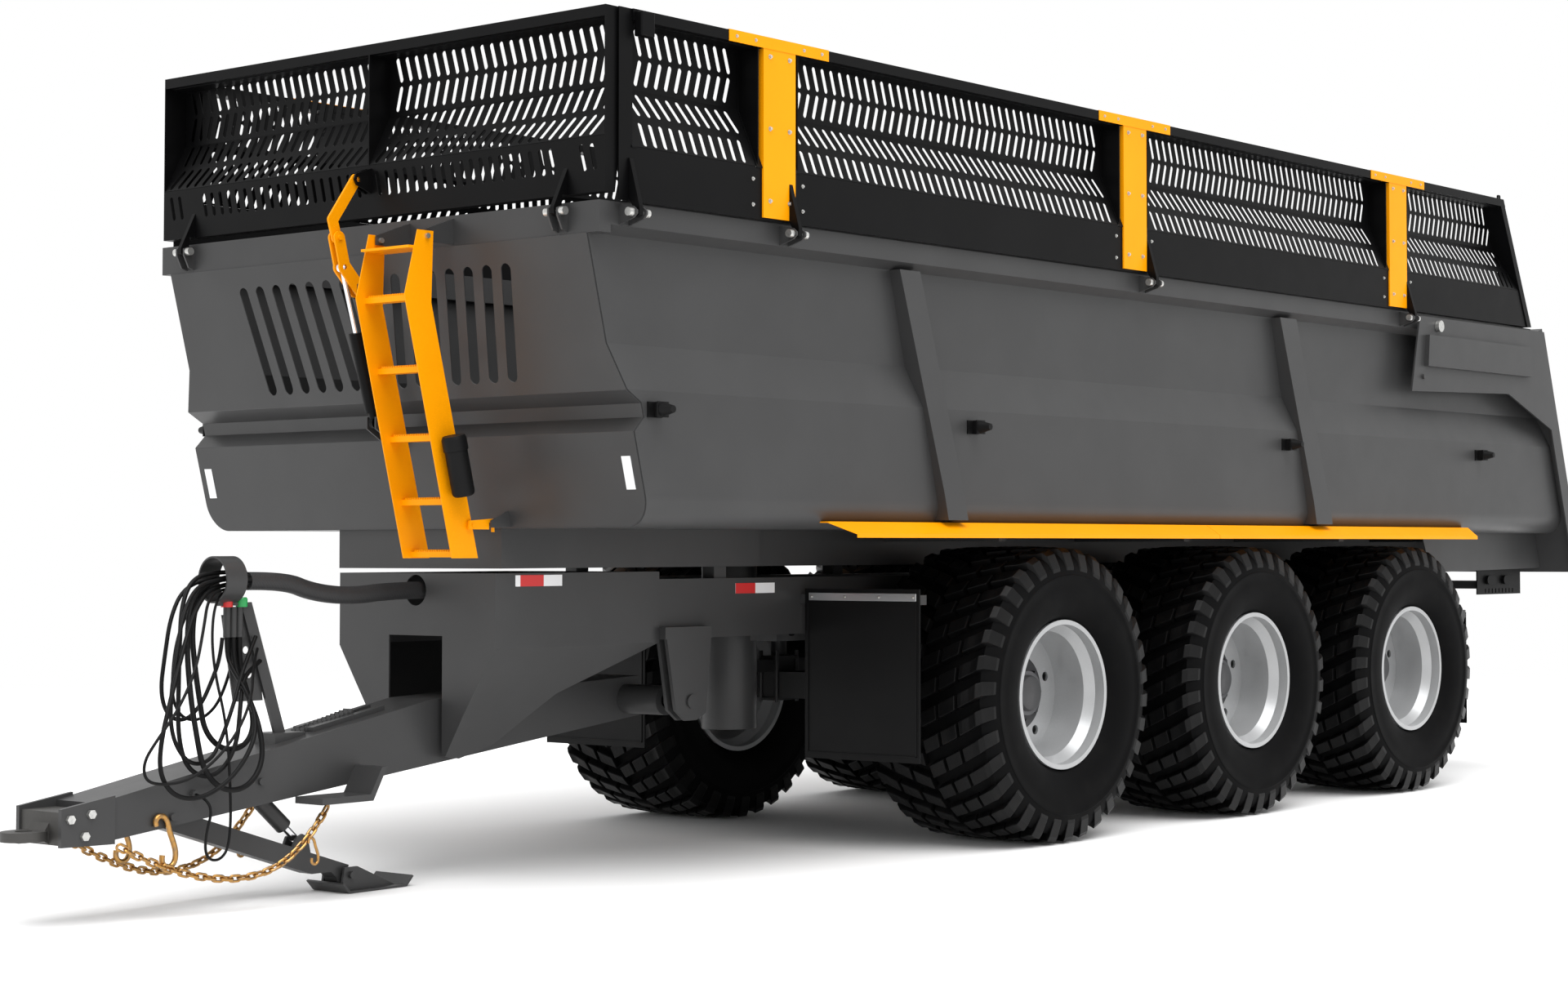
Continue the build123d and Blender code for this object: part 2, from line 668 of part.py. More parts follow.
with BuildPart() as hopper_core:
    with BuildSketch(Plane.YZ.offset(hopper_x[0])) as core_section:
        with BuildLine():
            Polyline(*section_points(lower_half - sheet, upper_half - sheet, floor_z + sheet, rail_low_z),
                     close=True)
        make_face()
        fillet(core_section.vertices().group_by(Axis.Y)[0], floor_corner - sheet)
    extrude(amount=hopper_x[1] - hopper_x[0])

with BuildPart() as hopper_outer:
    with BuildSketch(Plane.YZ.offset(hopper_x[0])) as outer_section:
        with BuildLine():
            Polyline(*section_points(lower_half, upper_half, floor_z, rail_low_z), close=True)
        make_face()
        fillet(outer_section.vertices().group_by(Axis.Y)[0], floor_corner)
    extrude(amount=hopper_x[1] - hopper_x[0])

floor_half = lower_half - floor_corner - 60
with BuildPart() as hopper_shell:
    add(hopper_outer.part)
    add(hopper_core.part, mode=Mode.SUBTRACT)
    side_plate(front_cut, -1700, 1700, mode=Mode.SUBTRACT)
    side_plate(door_cut, -1700, 1700, mode=Mode.SUBTRACT)
    split(bisect_by=Plane.XZ.offset(floor_half), keep=Keep.BOTH)
    split(bisect_by=Plane.XZ.offset(-floor_half), keep=Keep.BOTH)
save(hopper_shell, "hopper_shell")

slot_count = 7
wall_slope = math.degrees(math.atan(front_lean))
with BuildPart() as front_wall:
    with BuildSketch(Plane.XZ.offset(-lower_half)) as wall_section:
        with BuildLine() as wall_edge:
            Polyline(*wall_line())
            offset(amount=-sheet, side=Side.LEFT)
        make_face()
    extrude(amount=2 * lower_half)
    add(hopper_core.part, mode=Mode.INTERSECT)
    # Viewing slots, two groups that fan out towards the top
    slot_middle_z = (2340 + 2875) / 2
    slot_plane = Plane(
        origin=(front_x(slot_middle_z), 0, slot_middle_z), x_dir=(0, -1, 0), z_dir=(-1, 0, -front_lean))
    slot_tall = (2875 - 2340) / math.cos(math.atan(front_lean))
    with BuildSketch(slot_plane) as windows:
        for side in (-1, 1):
            for number in range(slot_count):
                top_y = 190 + number * 125.5
                fan = math.degrees(math.atan(90 / slot_tall))
                with Locations(Location((side * (top_y - 45), 0, 0), (0, 0, 90 - side * fan))):
                    SlotOverall(slot_tall, 62)
    extrude(windows.sketch, amount=40, both=True, mode=Mode.SUBTRACT)

with BuildPart() as top_rails:
    with BuildSketch(Plane.YZ.offset(front_top_x + 70)) as rail_profile:
        with BuildLine():
            Polyline(
                (-rail_inner, rail_low_z), (-upper_half, rail_low_z), (-rail_half, rail_low_z + 37),
                (-rail_half, rail_high_z), (-rail_inner, rail_high_z), close=True,
            )
        make_face()
        offset(amount=-6, mode=Mode.SUBTRACT)
    extrude(amount=door_top_x - front_top_x + 100)
    side_plate(door_cut, -1700, -1000, mode=Mode.SUBTRACT)
    # Lugs that carry the side panels' hinge pins
    for lug_x in lug_xs:
        for plate_x in (lug_x - 36, lug_x + 26):
            end_plate([
                (-rail_half, rail_low_z + 40), (-rail_half, rail_high_z - 8), (-hinge_y - 4, hinge_z + 26),
                (-hinge_y - 26, hinge_z + 8), (-hinge_y - 26, hinge_z - 8), (-hinge_y - 4, hinge_z - 26),
            ], plate_x, plate_x + 10)
        round_x(-hinge_y, hinge_z, hinge_pin, lug_x - 60, lug_x + 60, mode=Mode.SUBTRACT)
    mirror(about=Plane.XZ)
    # Front and rear cross rails
    block((front_top_x, front_top_x + 70), (-rail_half, rail_half), (rail_low_z, rail_high_z))
    block((front_top_x + 6, front_top_x + 64), (-rail_half + 6, rail_half - 6),
          (rail_low_z + 6, rail_high_z - 6), mode=Mode.SUBTRACT)
    block((3560, 3635), (-rail_inner, rail_inner), (3000, 3100))
    # Lugs that carry the front flap's hinge pins
    for side in (-1, 1):
        for plate_y_mid in (side * flap_hinge_y - 34, side * flap_hinge_y + 24):
            side_plate([
                (front_top_x, rail_low_z + 10), (front_top_x, rail_high_z - 10),
                (flap_hinge_x + 6, flap_hinge_z + 24), (flap_hinge_x - 20, flap_hinge_z + 14),
                (flap_hinge_x - 20, flap_hinge_z - 18), (flap_hinge_x + 10, rail_low_z + 20),
            ], plate_y_mid, plate_y_mid + 10)
        round_y(flap_hinge_x, flap_hinge_z, hinge_pin, side * flap_hinge_y - 60, side * flap_hinge_y + 60,
                mode=Mode.SUBTRACT)
    # Brackets of the ladder's top pins
    for rail_edge in (ladder_rails[0] + 8, ladder_rails[1] - 18):
        side_plate([
            (front_top_x, 2975), (front_top_x, 3095), (ladder_pivot[0] - 24, ladder_pivot[1] + 22),
            (ladder_pivot[0] - 24, ladder_pivot[1] - 22),
        ], rail_edge, rail_edge + 10)
        round_y(*ladder_pivot, 12, rail_edge - 1, rail_edge + 11, mode=Mode.SUBTRACT)
save(top_rails, "top_rails")

with BuildPart() as side_ribs:
    for top_x, width in ((-3261, 162), (390, 190)):
        foot_shift = (rail_low_z - floor_z - 45) * front_lean
        side_plate([
            (top_x - width / 2, rail_low_z), (top_x + width / 2, rail_low_z),
            (top_x + width / 2 + foot_shift, floor_z + 45), (top_x - width / 2 + foot_shift, floor_z + 45),
        ], -1700, -1400)
    end_plate([
        (-upper_half, rail_low_z), (-rail_half + 3, rail_low_z), (-lower_half - 54, floor_z + 180),
        (-lower_half - 54, floor_z + 45), (-1400, floor_z + 45), (-1400, rail_low_z),
    ], hopper_x[0], hopper_x[1], mode=Mode.INTERSECT)
    add(hopper_outer.part, mode=Mode.SUBTRACT)
    add(top_rails.part, mode=Mode.SUBTRACT)
    mirror(about=Plane.XZ)
save(side_ribs, "side_ribs")

guard_x = (-3900, -560, 2680)
guard_sheet = 6
with BuildPart() as side_guards:
    for low, high in ((guard_x[0], guard_x[1]), (guard_x[1] + 4, guard_x[2])):
        with BuildSketch(Plane.YZ.offset(low)) as guard_section:
            with BuildLine():
                Polyline(
                    (-1500, floor_z + 33), (-lower_half, floor_z + 33), (-1660, 1652), (-1660, 1632),
                    (-1660 + guard_sheet, 1632), (-1660 + guard_sheet, 1648),
                    (-lower_half + 2, floor_z + 27), (-1500, floor_z + 27), close=True,
                )
            make_face()
        extrude(guard_section.sketch, amount=high - low)
    add(hopper_outer.part, mode=Mode.SUBTRACT)
    # Bevelled outer corners
    for end_x, inward in ((guard_x[0], 170), (guard_x[2], -60)):
        with BuildSketch(Plane.XY.offset(1600)) as bevel:
            with BuildLine():
                Polyline((end_x, -lower_half - 2), (end_x, -1700), (end_x + inward, -1700), close=True)
            make_face()
        extrude(bevel.sketch, amount=200, mode=Mode.SUBTRACT)
    mirror(about=Plane.XZ)
save(side_guards, "side_guards")

skirt_y = 1345
receiver_z = 1634
with BuildPart() as hopper_subframe:
    # Long members with the rear hinge eyes
    block((subframe_front_x + 10, tip_x), (-rail_y - 40, -rail_y + 40), (subframe_low_z, floor_z))
    round_y(tip_x, tip_z, 58, -rail_y - 40, -rail_y + 40)
    round_y(tip_x, tip_z, tip_pin + running_gap, -rail_y - 41, -rail_y + 41, mode=Mode.SUBTRACT)
    # Front apron sides and rear skirts
    block((subframe_front_x, -3300), (-subframe_half, -subframe_half + 8), (subframe_low_z, floor_z))
    side_plate([(2430, floor_z), (door_x(floor_z) - 30, floor_z), (door_x(1430) - 30, 1430), (2560, 1410)],
               -skirt_y - 6, -skirt_y)
    mirror(about=Plane.XZ)
    block((subframe_front_x, subframe_front_x + 8), (-subframe_half + 8, subframe_half - 8),
          (subframe_low_z, floor_z))
    for cross_x in (-4700, -4000, -3400, -2200, -1300, -400, 500, 1400, 2300, 3200):
        block((cross_x - 40, cross_x + 40), (-rail_y + 40, rail_y - 40), (floor_z - 90, floor_z))
    block((ram_x - 110, ram_x + 110), (-rail_y + 40, rail_y - 40), (receiver_z, floor_z))
    # Outriggers under the floor
    for cross_x in (-2200, -400, 1400, 3200):
        for side in (-1, 1):
            low, high = sorted((side * (rail_y + 40), side * 1330))
            block((cross_x - 30, cross_x + 30), (low, high), (floor_z - 60, floor_z))
save(hopper_subframe, "hopper_subframe")

bumper_xs = (-5091, -2768, 329, 2834)
bumper_z = 2200
bumper_reach = 1686
with BuildPart() as rubber_bumpers:
    for bumper_x in bumper_xs:
        block((bumper_x - 45, bumper_x + 45), (-lower_half - 8, -lower_half), (bumper_z - 35, bumper_z + 35))
        block((bumper_x - 5, bumper_x + 5), (-lower_half - 50, -lower_half - 8),
              (bumper_z - 35, bumper_z + 35))
        block((bumper_x - 35, bumper_x + 35), (-lower_half - 58, -lower_half - 50),
              (bumper_z - 35, bumper_z + 35))
        with BuildSketch(Plane.XZ.offset(lower_half + 58)) as base:
            with Locations((bumper_x, bumper_z)):
                Circle(32)
        extrude(base.sketch, amount=bumper_reach - lower_half - 58, taper=14)
    mirror(about=Plane.XZ)
save(rubber_bumpers, "rubber_bumpers")

arm_out = arm_inner + arm_plate
with BuildPart() as hinge_bolts:
    for lug_x in lug_xs:
        round_x(-hinge_y, hinge_z, hinge_pin, lug_x - 52, lug_x + 52)
        for low in (lug_x - 64, lug_x + 36):
            round_x(-hinge_y, hinge_z, 19, low if low < lug_x else lug_x + 36, low + 28)
    round_y(flap_hinge_x, flap_hinge_z, hinge_pin, -flap_hinge_y - 50, -flap_hinge_y + 50)
    for low in (-flap_hinge_y - 62, -flap_hinge_y + 34):
        round_y(flap_hinge_x, flap_hinge_z, 19, low, low + 28)
    # Tailgate pivots on the rails
    round_y(pivot_x, pivot_z, 25, -arm_out - 14, -rail_half)
    round_y(pivot_x, pivot_z, 40, -arm_inner + 4, -rail_half)
    round_y(pivot_x, pivot_z, 38, -arm_out - 30, -arm_out - 2)
    mirror(about=Plane.XZ)
    # Ladder and flap linkage pins
    round_y(*ladder_pivot, 12, ladder_rails[0] - 20, ladder_rails[0] + 30)
    round_y(*ladder_pivot, 12, ladder_rails[1] - 30, ladder_rails[1] + 20)
save(hinge_bolts, "hinge_bolts")


# ---- Extension panels ------------------------------------------------------------------------------
def panel_line(face, low_z, band_z, inward):
    """The folded sheet of an extension panel: face, slope and recess, as across and up values."""
    recess = face + inward * panel_recess
    bar_low = panel_high_z - bar_height
    return [
        (face + inward * 60, low_z), (face, low_z), (face, band_z), (recess, panel_fold_z),
        (recess, bar_low - 4), (face + inward * 45, bar_low - 4),
    ]


upper_rows = ((3857, 107), (3720, 75))
slope_rows = ((225, 113), (70, 86))
plate_thick = 4
bar_low_z = panel_high_z - bar_height


def rear_edge(z):
    """Rear edge of a side panel at a height."""
    share = (z - panel_low_z) / (panel_high_z - panel_low_z)
    return panel_rear_low_x + (panel_rear_high_x - panel_rear_low_x) * share


def perforated_plate(plane, outline, rows, spots, thick=plate_thick):
    """A flat plate with rows of slots, drawn on its outer face; spots gives each row's places."""
    with BuildPart() as plate:
        with BuildSketch(plane) as face:
            with BuildLine():
                Polyline(*outline, close=True)
            make_face()
            for (height, turn), places in zip(rows, spots):
                with Locations(*[(place, height) for place in places]):
                    SlotOverall(slot_length, slot_width, rotation=turn, mode=Mode.SUBTRACT)
        extrude(amount=-thick)
    return plate


# Bays of perforated sheet between the posts, and the solid sheet left around each post
post_zone = post_width / 2 + 40
bays = []
bay_start = panel_front_x + 30
for post_x in post_xs:
    bays.append((bay_start, post_x - post_zone))
    bay_start = post_x + post_zone
bays.append((bay_start, panel_rear_low_x))
solid_zones = [(panel_front_x, bays[0][0])] + [(low[1], high[0]) for low, high in zip(bays, bays[1:])]
slope_long = math.dist((panel_face, panel_band_z), (panel_face - panel_recess, panel_fold_z))
slope_start = 2
slope_dir = (0, panel_recess / slope_long, (panel_fold_z - panel_band_z) / slope_long)
slope_origin = (0, -panel_face + slope_dir[1] * slope_start, panel_band_z + slope_dir[2] * slope_start)
slope_plane = Plane(origin=slope_origin, x_dir=(1, 0, 0), z_dir=(0, -slope_dir[2], slope_dir[1]))
recess_plane = Plane.XZ.offset(panel_face - panel_recess)


def slot_spots(low, high):
    """Slot places along one row, centred in a bay."""
    count = int((high - low - 50) // slot_pitch)
    first = (low + high - (count - 1) * slot_pitch) / 2
    return [first + number * slot_pitch for number in range(count)]


left_plates = []
for low, high in bays:
    last = high == panel_rear_low_x
    frame = 60 if last else 0
    upper_ends = [rear_edge(z) - frame if last else high for z in (panel_fold_z, bar_low_z - 4)]
    slope_ends = [rear_edge(z) - frame if last else high for z in (panel_band_z, panel_fold_z)]
    upper_spots = [slot_spots(low, rear_edge(height) - 40 if last else high) for height, turn in upper_rows]
    slope_spots = [
        slot_spots(low, rear_edge(panel_band_z + height) - 40 if last else high)
        for height, turn in slope_rows]
    left_plates.append(perforated_plate(
        recess_plane,
        [(low, panel_fold_z), (upper_ends[0], panel_fold_z), (upper_ends[1], bar_low_z - 4),
         (low, bar_low_z - 4)],
        upper_rows, upper_spots))
    left_plates.append(perforated_plate(
        slope_plane,
        [(low, 0), (slope_ends[0], 0), (slope_ends[1], slope_long - slope_start),
         (low, slope_long - slope_start)],
        slope_rows, slope_spots))

with BuildPart() as left_panel:
    # Lower band, the lip under the top bar, and the top bar itself
    block((panel_front_x, panel_rear_low_x), (-panel_face, -panel_face + 4), (panel_low_z, panel_band_z))
    block((panel_front_x, panel_rear_low_x), (-panel_face, -panel_face + 60), (panel_low_z, panel_low_z + 4))
    block((panel_front_x, panel_rear_low_x), (-panel_face - 10, -panel_face - 10 + bar_depth),
          (bar_low_z, panel_high_z))
    block((panel_front_x, panel_rear_low_x), (-panel_face + 30, -panel_face + panel_recess + 4),
          (bar_low_z - 4, bar_low_z))
    # Solid folded sheet beside the posts
    for low, high in solid_zones:
        with BuildSketch(Plane.YZ.offset(low)) as solid_section:
            with BuildLine():
                Polyline((-panel_face, panel_band_z - 5), (-panel_face, panel_band_z),
                         (-panel_face + panel_recess, panel_fold_z),
                         (-panel_face + panel_recess, bar_low_z - 2))
                offset(amount=-4, side=Side.LEFT)
            make_face()
        extrude(solid_section.sketch, amount=high - low)
    # Gussets that close the recess at the front end and beside the posts
    gusset = [
        (-panel_face, panel_band_z), (-panel_face + panel_recess, panel_fold_z),
        (-panel_face + panel_recess, bar_low_z), (-panel_face, bar_low_z),
    ]
    gusset_xs = [panel_front_x]
    for post_x in post_xs:
        gusset_xs += [post_x - post_width / 2 - 30, post_x + post_width / 2 + 24]
    for gusset_x in gusset_xs:
        end_plate(gusset, gusset_x, gusset_x + 6)
    # Corner cover beside the front flap
    block((panel_front_x - 78, panel_front_x), (-panel_face, -panel_face + 6), (panel_low_z, panel_high_z))
    # Sloping rear end with its frame
    side_plate([
        (rear_edge(panel_low_z - 10), panel_low_z - 10), (rear_edge(panel_high_z + 10), panel_high_z + 10),
        (panel_rear_low_x + 200, panel_high_z + 10), (panel_rear_low_x + 200, panel_low_z - 10),
    ], -1700, -1300, mode=Mode.SUBTRACT)
    side_plate([
        (panel_rear_low_x - 60, panel_low_z), (panel_rear_low_x, panel_low_z),
        (panel_rear_high_x, panel_high_z), (panel_rear_high_x - 60, panel_high_z),
    ], -panel_face - 8, -panel_face + panel_recess + 4)
    # Hinge ears and their straps
    for lug_x in lug_xs:
        end_plate([
            (-panel_face, panel_low_z + 20), (-panel_face, panel_low_z + 190),
            (-panel_face - 8, panel_low_z + 190),
            (-hinge_y - 20, hinge_z + 30), (-hinge_y - 20, hinge_z - 12), (-hinge_y + 8, hinge_z - 20),
            (-hinge_y + 22, hinge_z - 6), (-hinge_y + 22, hinge_z + 30),
        ], lug_x - 12, lug_x + 12)
        round_x(-hinge_y, hinge_z, hinge_pin + running_gap, lug_x - 13, lug_x + 13, mode=Mode.SUBTRACT)
    # Lashing ring tab at the top rear corner
    with BuildSketch(Plane.XZ.offset(panel_face - 20)) as ring_tab:
        with Locations((panel_rear_high_x - 25, panel_high_z - 20)):
            RectangleRounded(44, 100, 12)
        with Locations((panel_rear_high_x - 25, panel_high_z + 10)):
            Circle(9, mode=Mode.SUBTRACT)
    extrude(ring_tab.sketch, amount=8)
save(left_panel, "left_panel", left_plates)

with BuildPart() as right_panel:
    add(mirror(left_panel.part, about=Plane.XZ))
right_plates = []
for plate in left_plates:
    with BuildPart() as right_plate:
        add(mirror(plate.part, about=Plane.XZ))
    right_plates.append(right_plate)
save(right_panel, "right_panel", right_plates)

post_face = panel_face + 10
cap_half = 351
with BuildPart() as left_posts:
    for post_x in post_xs:
        low_x, high_x = post_x - post_width / 2, post_x + post_width / 2
        bar_low = bar_low_z
        block((low_x, high_x), (-post_face, -post_face + 5), (panel_low_z + 10, bar_low))
        for flange_x in (low_x, high_x - 5):
            end_plate([
                (-post_face + 5, panel_low_z + 10), (-post_face + 5, bar_low - 4),
                (-panel_face + panel_recess, bar_low - 4), (-panel_face + panel_recess, panel_fold_z),
                (-panel_face, panel_band_z), (-panel_face, panel_low_z + 10),
            ], flange_x, flange_x + 5)
        # Cap strip on the top bar
        block((post_x - cap_half, post_x + cap_half), (-post_face - 3, -post_face),
              (bar_low - 2, panel_high_z))
        block((post_x - cap_half, post_x + cap_half), (-post_face - 3, -post_face + bar_depth),
              (panel_high_z, panel_high_z + 3))
    add(left_panel.part, mode=Mode.SUBTRACT)
save(left_posts, "left_posts")

with BuildPart() as right_posts:
    add(mirror(left_posts.part, about=Plane.XZ))
save(right_posts, "right_posts")

flap_upper_rows = ((3857, 107), (3720, 75))
flap_slope_rows = ((205, 90), (62, 62))
flap_band_rows = ((3305, 104), )
flap_slope_long = math.dist((0, flap_band_z), (panel_recess, panel_fold_z))
flap_slope_dir = (panel_recess / flap_slope_long, 0, (panel_fold_z - flap_band_z) / flap_slope_long)
flap_slope_origin = (flap_face_x + flap_slope_dir[0] * slope_start, 0,
                     flap_band_z + flap_slope_dir[2] * slope_start)
flap_slope_plane = Plane(origin=flap_slope_origin, x_dir=(0, -1, 0),
                         z_dir=(-flap_slope_dir[2], 0, flap_slope_dir[0]))
flap_recess_plane = Plane(origin=(flap_face_x + panel_recess, 0, 0), x_dir=(0, -1, 0), z_dir=(-1, 0, 0))
flap_face_plane = Plane(origin=(flap_face_x, 0, 0), x_dir=(0, -1, 0), z_dir=(-1, 0, 0))
gusset_half = 4
flap_plates = []
for side in (-1, 1):
    inner, outer = side * gusset_half, side * (flap_half - 6)
    low, high = min(inner, outer), max(inner, outer)
    spots = slot_spots(low, high)
    top, slope_top = bar_low_z - 4, flap_slope_long - slope_start
    flap_plates.append(perforated_plate(
        flap_recess_plane, [(low, panel_fold_z), (high, panel_fold_z), (high, top), (low, top)],
        flap_upper_rows, [spots, spots]))
    flap_plates.append(perforated_plate(
        flap_slope_plane, [(low, 0), (high, 0), (high, slope_top), (low, slope_top)],
        flap_slope_rows, [spots, spots]))
    clear_spots = [spot for spot in spots if min(abs(spot), abs(abs(spot) - flap_hinge_y)) > 60]
    flap_plates.append(perforated_plate(
        flap_face_plane,
        [(low, flap_low_z + 4), (high, flap_low_z + 4), (high, flap_band_z), (low, flap_band_z)],
        flap_band_rows, [clear_spots]))

with BuildPart() as front_panel:
    block((flap_face_x, flap_face_x + bar_depth), (-flap_half, flap_half), (bar_low_z, panel_high_z))
    block((flap_face_x + 30, flap_face_x + panel_recess + 4), (-flap_half, flap_half),
          (bar_low_z - 4, bar_low_z))
    block((flap_face_x, flap_face_x + 60), (-flap_half, flap_half), (flap_low_z, flap_low_z + 4))
    for gusset_y in (-flap_half, flap_half - 6):
        side_plate([
            (flap_face_x, flap_low_z), (flap_face_x, panel_high_z),
            (flap_face_x + panel_recess, panel_high_z),
            (flap_face_x + panel_recess + 4, bar_low_z - 4), (flap_face_x + panel_recess + 4, panel_fold_z),
            (flap_face_x + 60, flap_low_z),
        ], gusset_y, gusset_y + 6)
    side_plate([
        (flap_face_x, flap_low_z), (flap_face_x, bar_low_z), (flap_face_x + panel_recess + 4, bar_low_z),
        (flap_face_x + panel_recess + 4, panel_fold_z), (flap_face_x + 60, flap_low_z),
    ], -gusset_half, gusset_half)
    # Hinge brackets on the lower band
    for side in (-1, 1):
        side_plate([
            (flap_face_x, flap_low_z), (flap_face_x, flap_low_z + 120),
            (flap_hinge_x - 22, flap_hinge_z + 20), (flap_hinge_x - 22, flap_hinge_z - 10),
            (flap_hinge_x, flap_hinge_z - 22), (flap_hinge_x + 22, flap_hinge_z),
            (flap_hinge_x + 30, flap_low_z),
        ], side * flap_hinge_y - 12, side * flap_hinge_y + 12)
        round_y(flap_hinge_x, flap_hinge_z, hinge_pin + running_gap, side * flap_hinge_y - 13,
                side * flap_hinge_y + 13, mode=Mode.SUBTRACT)
    # Fork that takes the upper lever
    for low in (-24, 14):
        side_plate([
            (flap_face_x, flap_pin[1] - 60), (flap_face_x, flap_pin[1] + 60),
            (flap_pin[0] - 16, flap_pin[1] + 26), (flap_pin[0] - 26, flap_pin[1]),
            (flap_pin[0] - 12, flap_pin[1] - 26),
        ], low, low + 10)
    round_y(*flap_pin, 13, -30, 30, mode=Mode.SUBTRACT)
save(front_panel, "front_panel", flap_plates)

# ---- Flap linkage ----------------------------------------------------------------------------------
linkage_pin = 12
lever_bend = (-5620, 3118)
with BuildPart() as lever_upper:
    side_plate(thick_line(joint_pin, lever_bend, 27), -6, 6)
    side_plate(thick_line(lever_bend, flap_pin, 27), -6, 6)
    for place in (joint_pin, lever_bend, flap_pin):
        round_y(*place, 27, -6, 6)
    round_y(*joint_pin, linkage_pin + running_gap, -7, 7, mode=Mode.SUBTRACT)
    round_y(*flap_pin, 13, -7, 7, mode=Mode.SUBTRACT)
save(lever_upper, "lever_upper")

with BuildPart() as lever_lower:
    for low in (-24, 14):
        side_plate(thick_line(joint_pin, rod_eye, 30), low, low + 10)
        side_plate(thick_line(rod_eye, lever_pivot, 34), low, low + 10)
        round_y(*joint_pin, 30, low, low + 10)
        round_y(*rod_eye, 34, low, low + 10)
        round_y(*lever_pivot, 34, low, low + 10)
    round_y(*joint_pin, linkage_pin, -34, 34)
    round_y(*lever_pivot, linkage_pin + running_gap, -40, 40, mode=Mode.SUBTRACT)
    round_y(*rod_eye, 13, -40, 40, mode=Mode.SUBTRACT)
save(lever_lower, "lever_lower")

flap_rod = 13
with BuildPart() as flap_cylinder_barrel:
    rod_between(between(jack_base, rod_eye, 0.03), between(jack_base, rod_eye, 0.08), 22)
    rod_between(between(jack_base, rod_eye, 0.07), between(jack_base, rod_eye, 0.58), 35)
    round_y(*jack_base, 30, -12, 12)
    rod_between(between(jack_base, rod_eye, 0.09), between(jack_base, rod_eye, 0.7), flap_rod + 0.3,
                mode=Mode.SUBTRACT)
    round_y(*jack_base, linkage_pin + running_gap, -40, 40, mode=Mode.SUBTRACT)
save(flap_cylinder_barrel, "flap_cylinder_barrel")

with BuildPart() as flap_cylinder_rod:
    rod_between(between(jack_base, rod_eye, 0.22), between(jack_base, rod_eye, 0.97), flap_rod)
    round_y(*rod_eye, 28, -11, 11)
    round_y(*rod_eye, 13, -12, 12, mode=Mode.SUBTRACT)
save(flap_cylinder_rod, "flap_cylinder_rod")

# ---- Ladder ----------------------------------------------------------------------------------------
rung_zs = (2720, 2400, 2090, 1800, 1560)
latch_pivot = (-5330, 1690)


def ladder_x(z):
    """Middle of the ladder's rails at a height below the knee."""
    return -5645 + (2720 - z) * 0.2415


with BuildPart() as ladder:
    for low in (ladder_rails[0] - 6, ladder_rails[1]):
        side_plate([
            (-5652, 3025), (-5725, 2725), (ladder_x(1540) - 78, 1540), (ladder_x(1540) + 78, 1540),
            (-5570, 2700), (-5560, 3025),
        ], low, low + 6)
    for rung_z in rung_zs:
        middle = ladder_x(rung_z)
        block((middle - 30, middle + 30), (ladder_rails[0], ladder_rails[1]), (rung_z - 16, rung_z + 10))
    # Serrated top step
    block((-5700, -5560), (ladder_rails[0], ladder_rails[1]), (2940, 2952))
    for low in (ladder_rails[0] - 7, ladder_rails[1] - 1):
        round_y(*ladder_pivot, 12 + running_gap, low, low + 8, mode=Mode.SUBTRACT)
    round_y(*latch_pivot, 8, ladder_rails[0] - 30, ladder_rails[0] - 6)
    round_y(*latch_pivot, 16, ladder_rails[0] - 15, ladder_rails[0] - 6)
save(ladder, "ladder")

stud_place = (-5222, 1694)
with BuildPart() as ladder_latch:
    side_plate([
        (-5358, 1672), (-5352, 1712), (-5204, 1722), (-5198, 1660), (-5212, 1660), (-5212, 1704),
        (-5232, 1704), (-5232, 1672),
    ], ladder_rails[0] - 25, ladder_rails[0] - 16)
    round_y(*latch_pivot, 8 + running_gap, ladder_rails[0] - 26, ladder_rails[0] - 15, mode=Mode.SUBTRACT)
save(ladder_latch, "ladder_latch")

with BuildPart() as wall_brackets:
    # Latch holder, lever bracket and cylinder bracket, welded to the front wall
    side_plate([
        (front_x(1684), 1684), (front_x(1760), 1760), (-5236, 1712), (-5236, 1680),
    ], ladder_rails[0] - 44, ladder_rails[0] - 36)
    round_y(*stud_place, 8, ladder_rails[0] - 40, ladder_rails[0] - 12)
    for low in (-36, 26):
        side_plate([
            (front_x(2720), 2720), (front_x(2880), 2880), (lever_pivot[0] - 24, lever_pivot[1] + 24),
            (lever_pivot[0] - 24, lever_pivot[1] - 24),
        ], low, low + 10)
        side_plate([
            (front_x(2030), 2030), (front_x(2098), 2098), (jack_base[0] + 20, jack_base[1] + 30),
            (jack_base[0] - 26, jack_base[1] + 26), (jack_base[0] - 26, jack_base[1] - 30),
        ], low, low + 10)
    round_y(*lever_pivot, linkage_pin, -46, 46)
    round_y(*jack_base, linkage_pin, -46, 46)

with BuildPart() as whole_front_wall:
    add(front_wall.part)
    add(wall_brackets.part)
save(whole_front_wall, "front_wall")

# ---- Tailgate --------------------------------------------------------------------------------------
door_angle = math.atan(door_lean)


def door_point(z, depth):
    """A point at a height on the tailgate's front face, moved out by a depth."""
    return (door_x(z) + depth * math.cos(door_angle), z + depth * math.sin(door_angle))


def door_slab(z_high, z_low, front, back, low, high, mode=Mode.ADD):
    """A flat slab parallel to the tailgate."""
    side_plate([
        door_point(z_high, front), door_point(z_high, back), door_point(z_low, back),
        door_point(z_low, front),
    ], low, high, mode=mode)


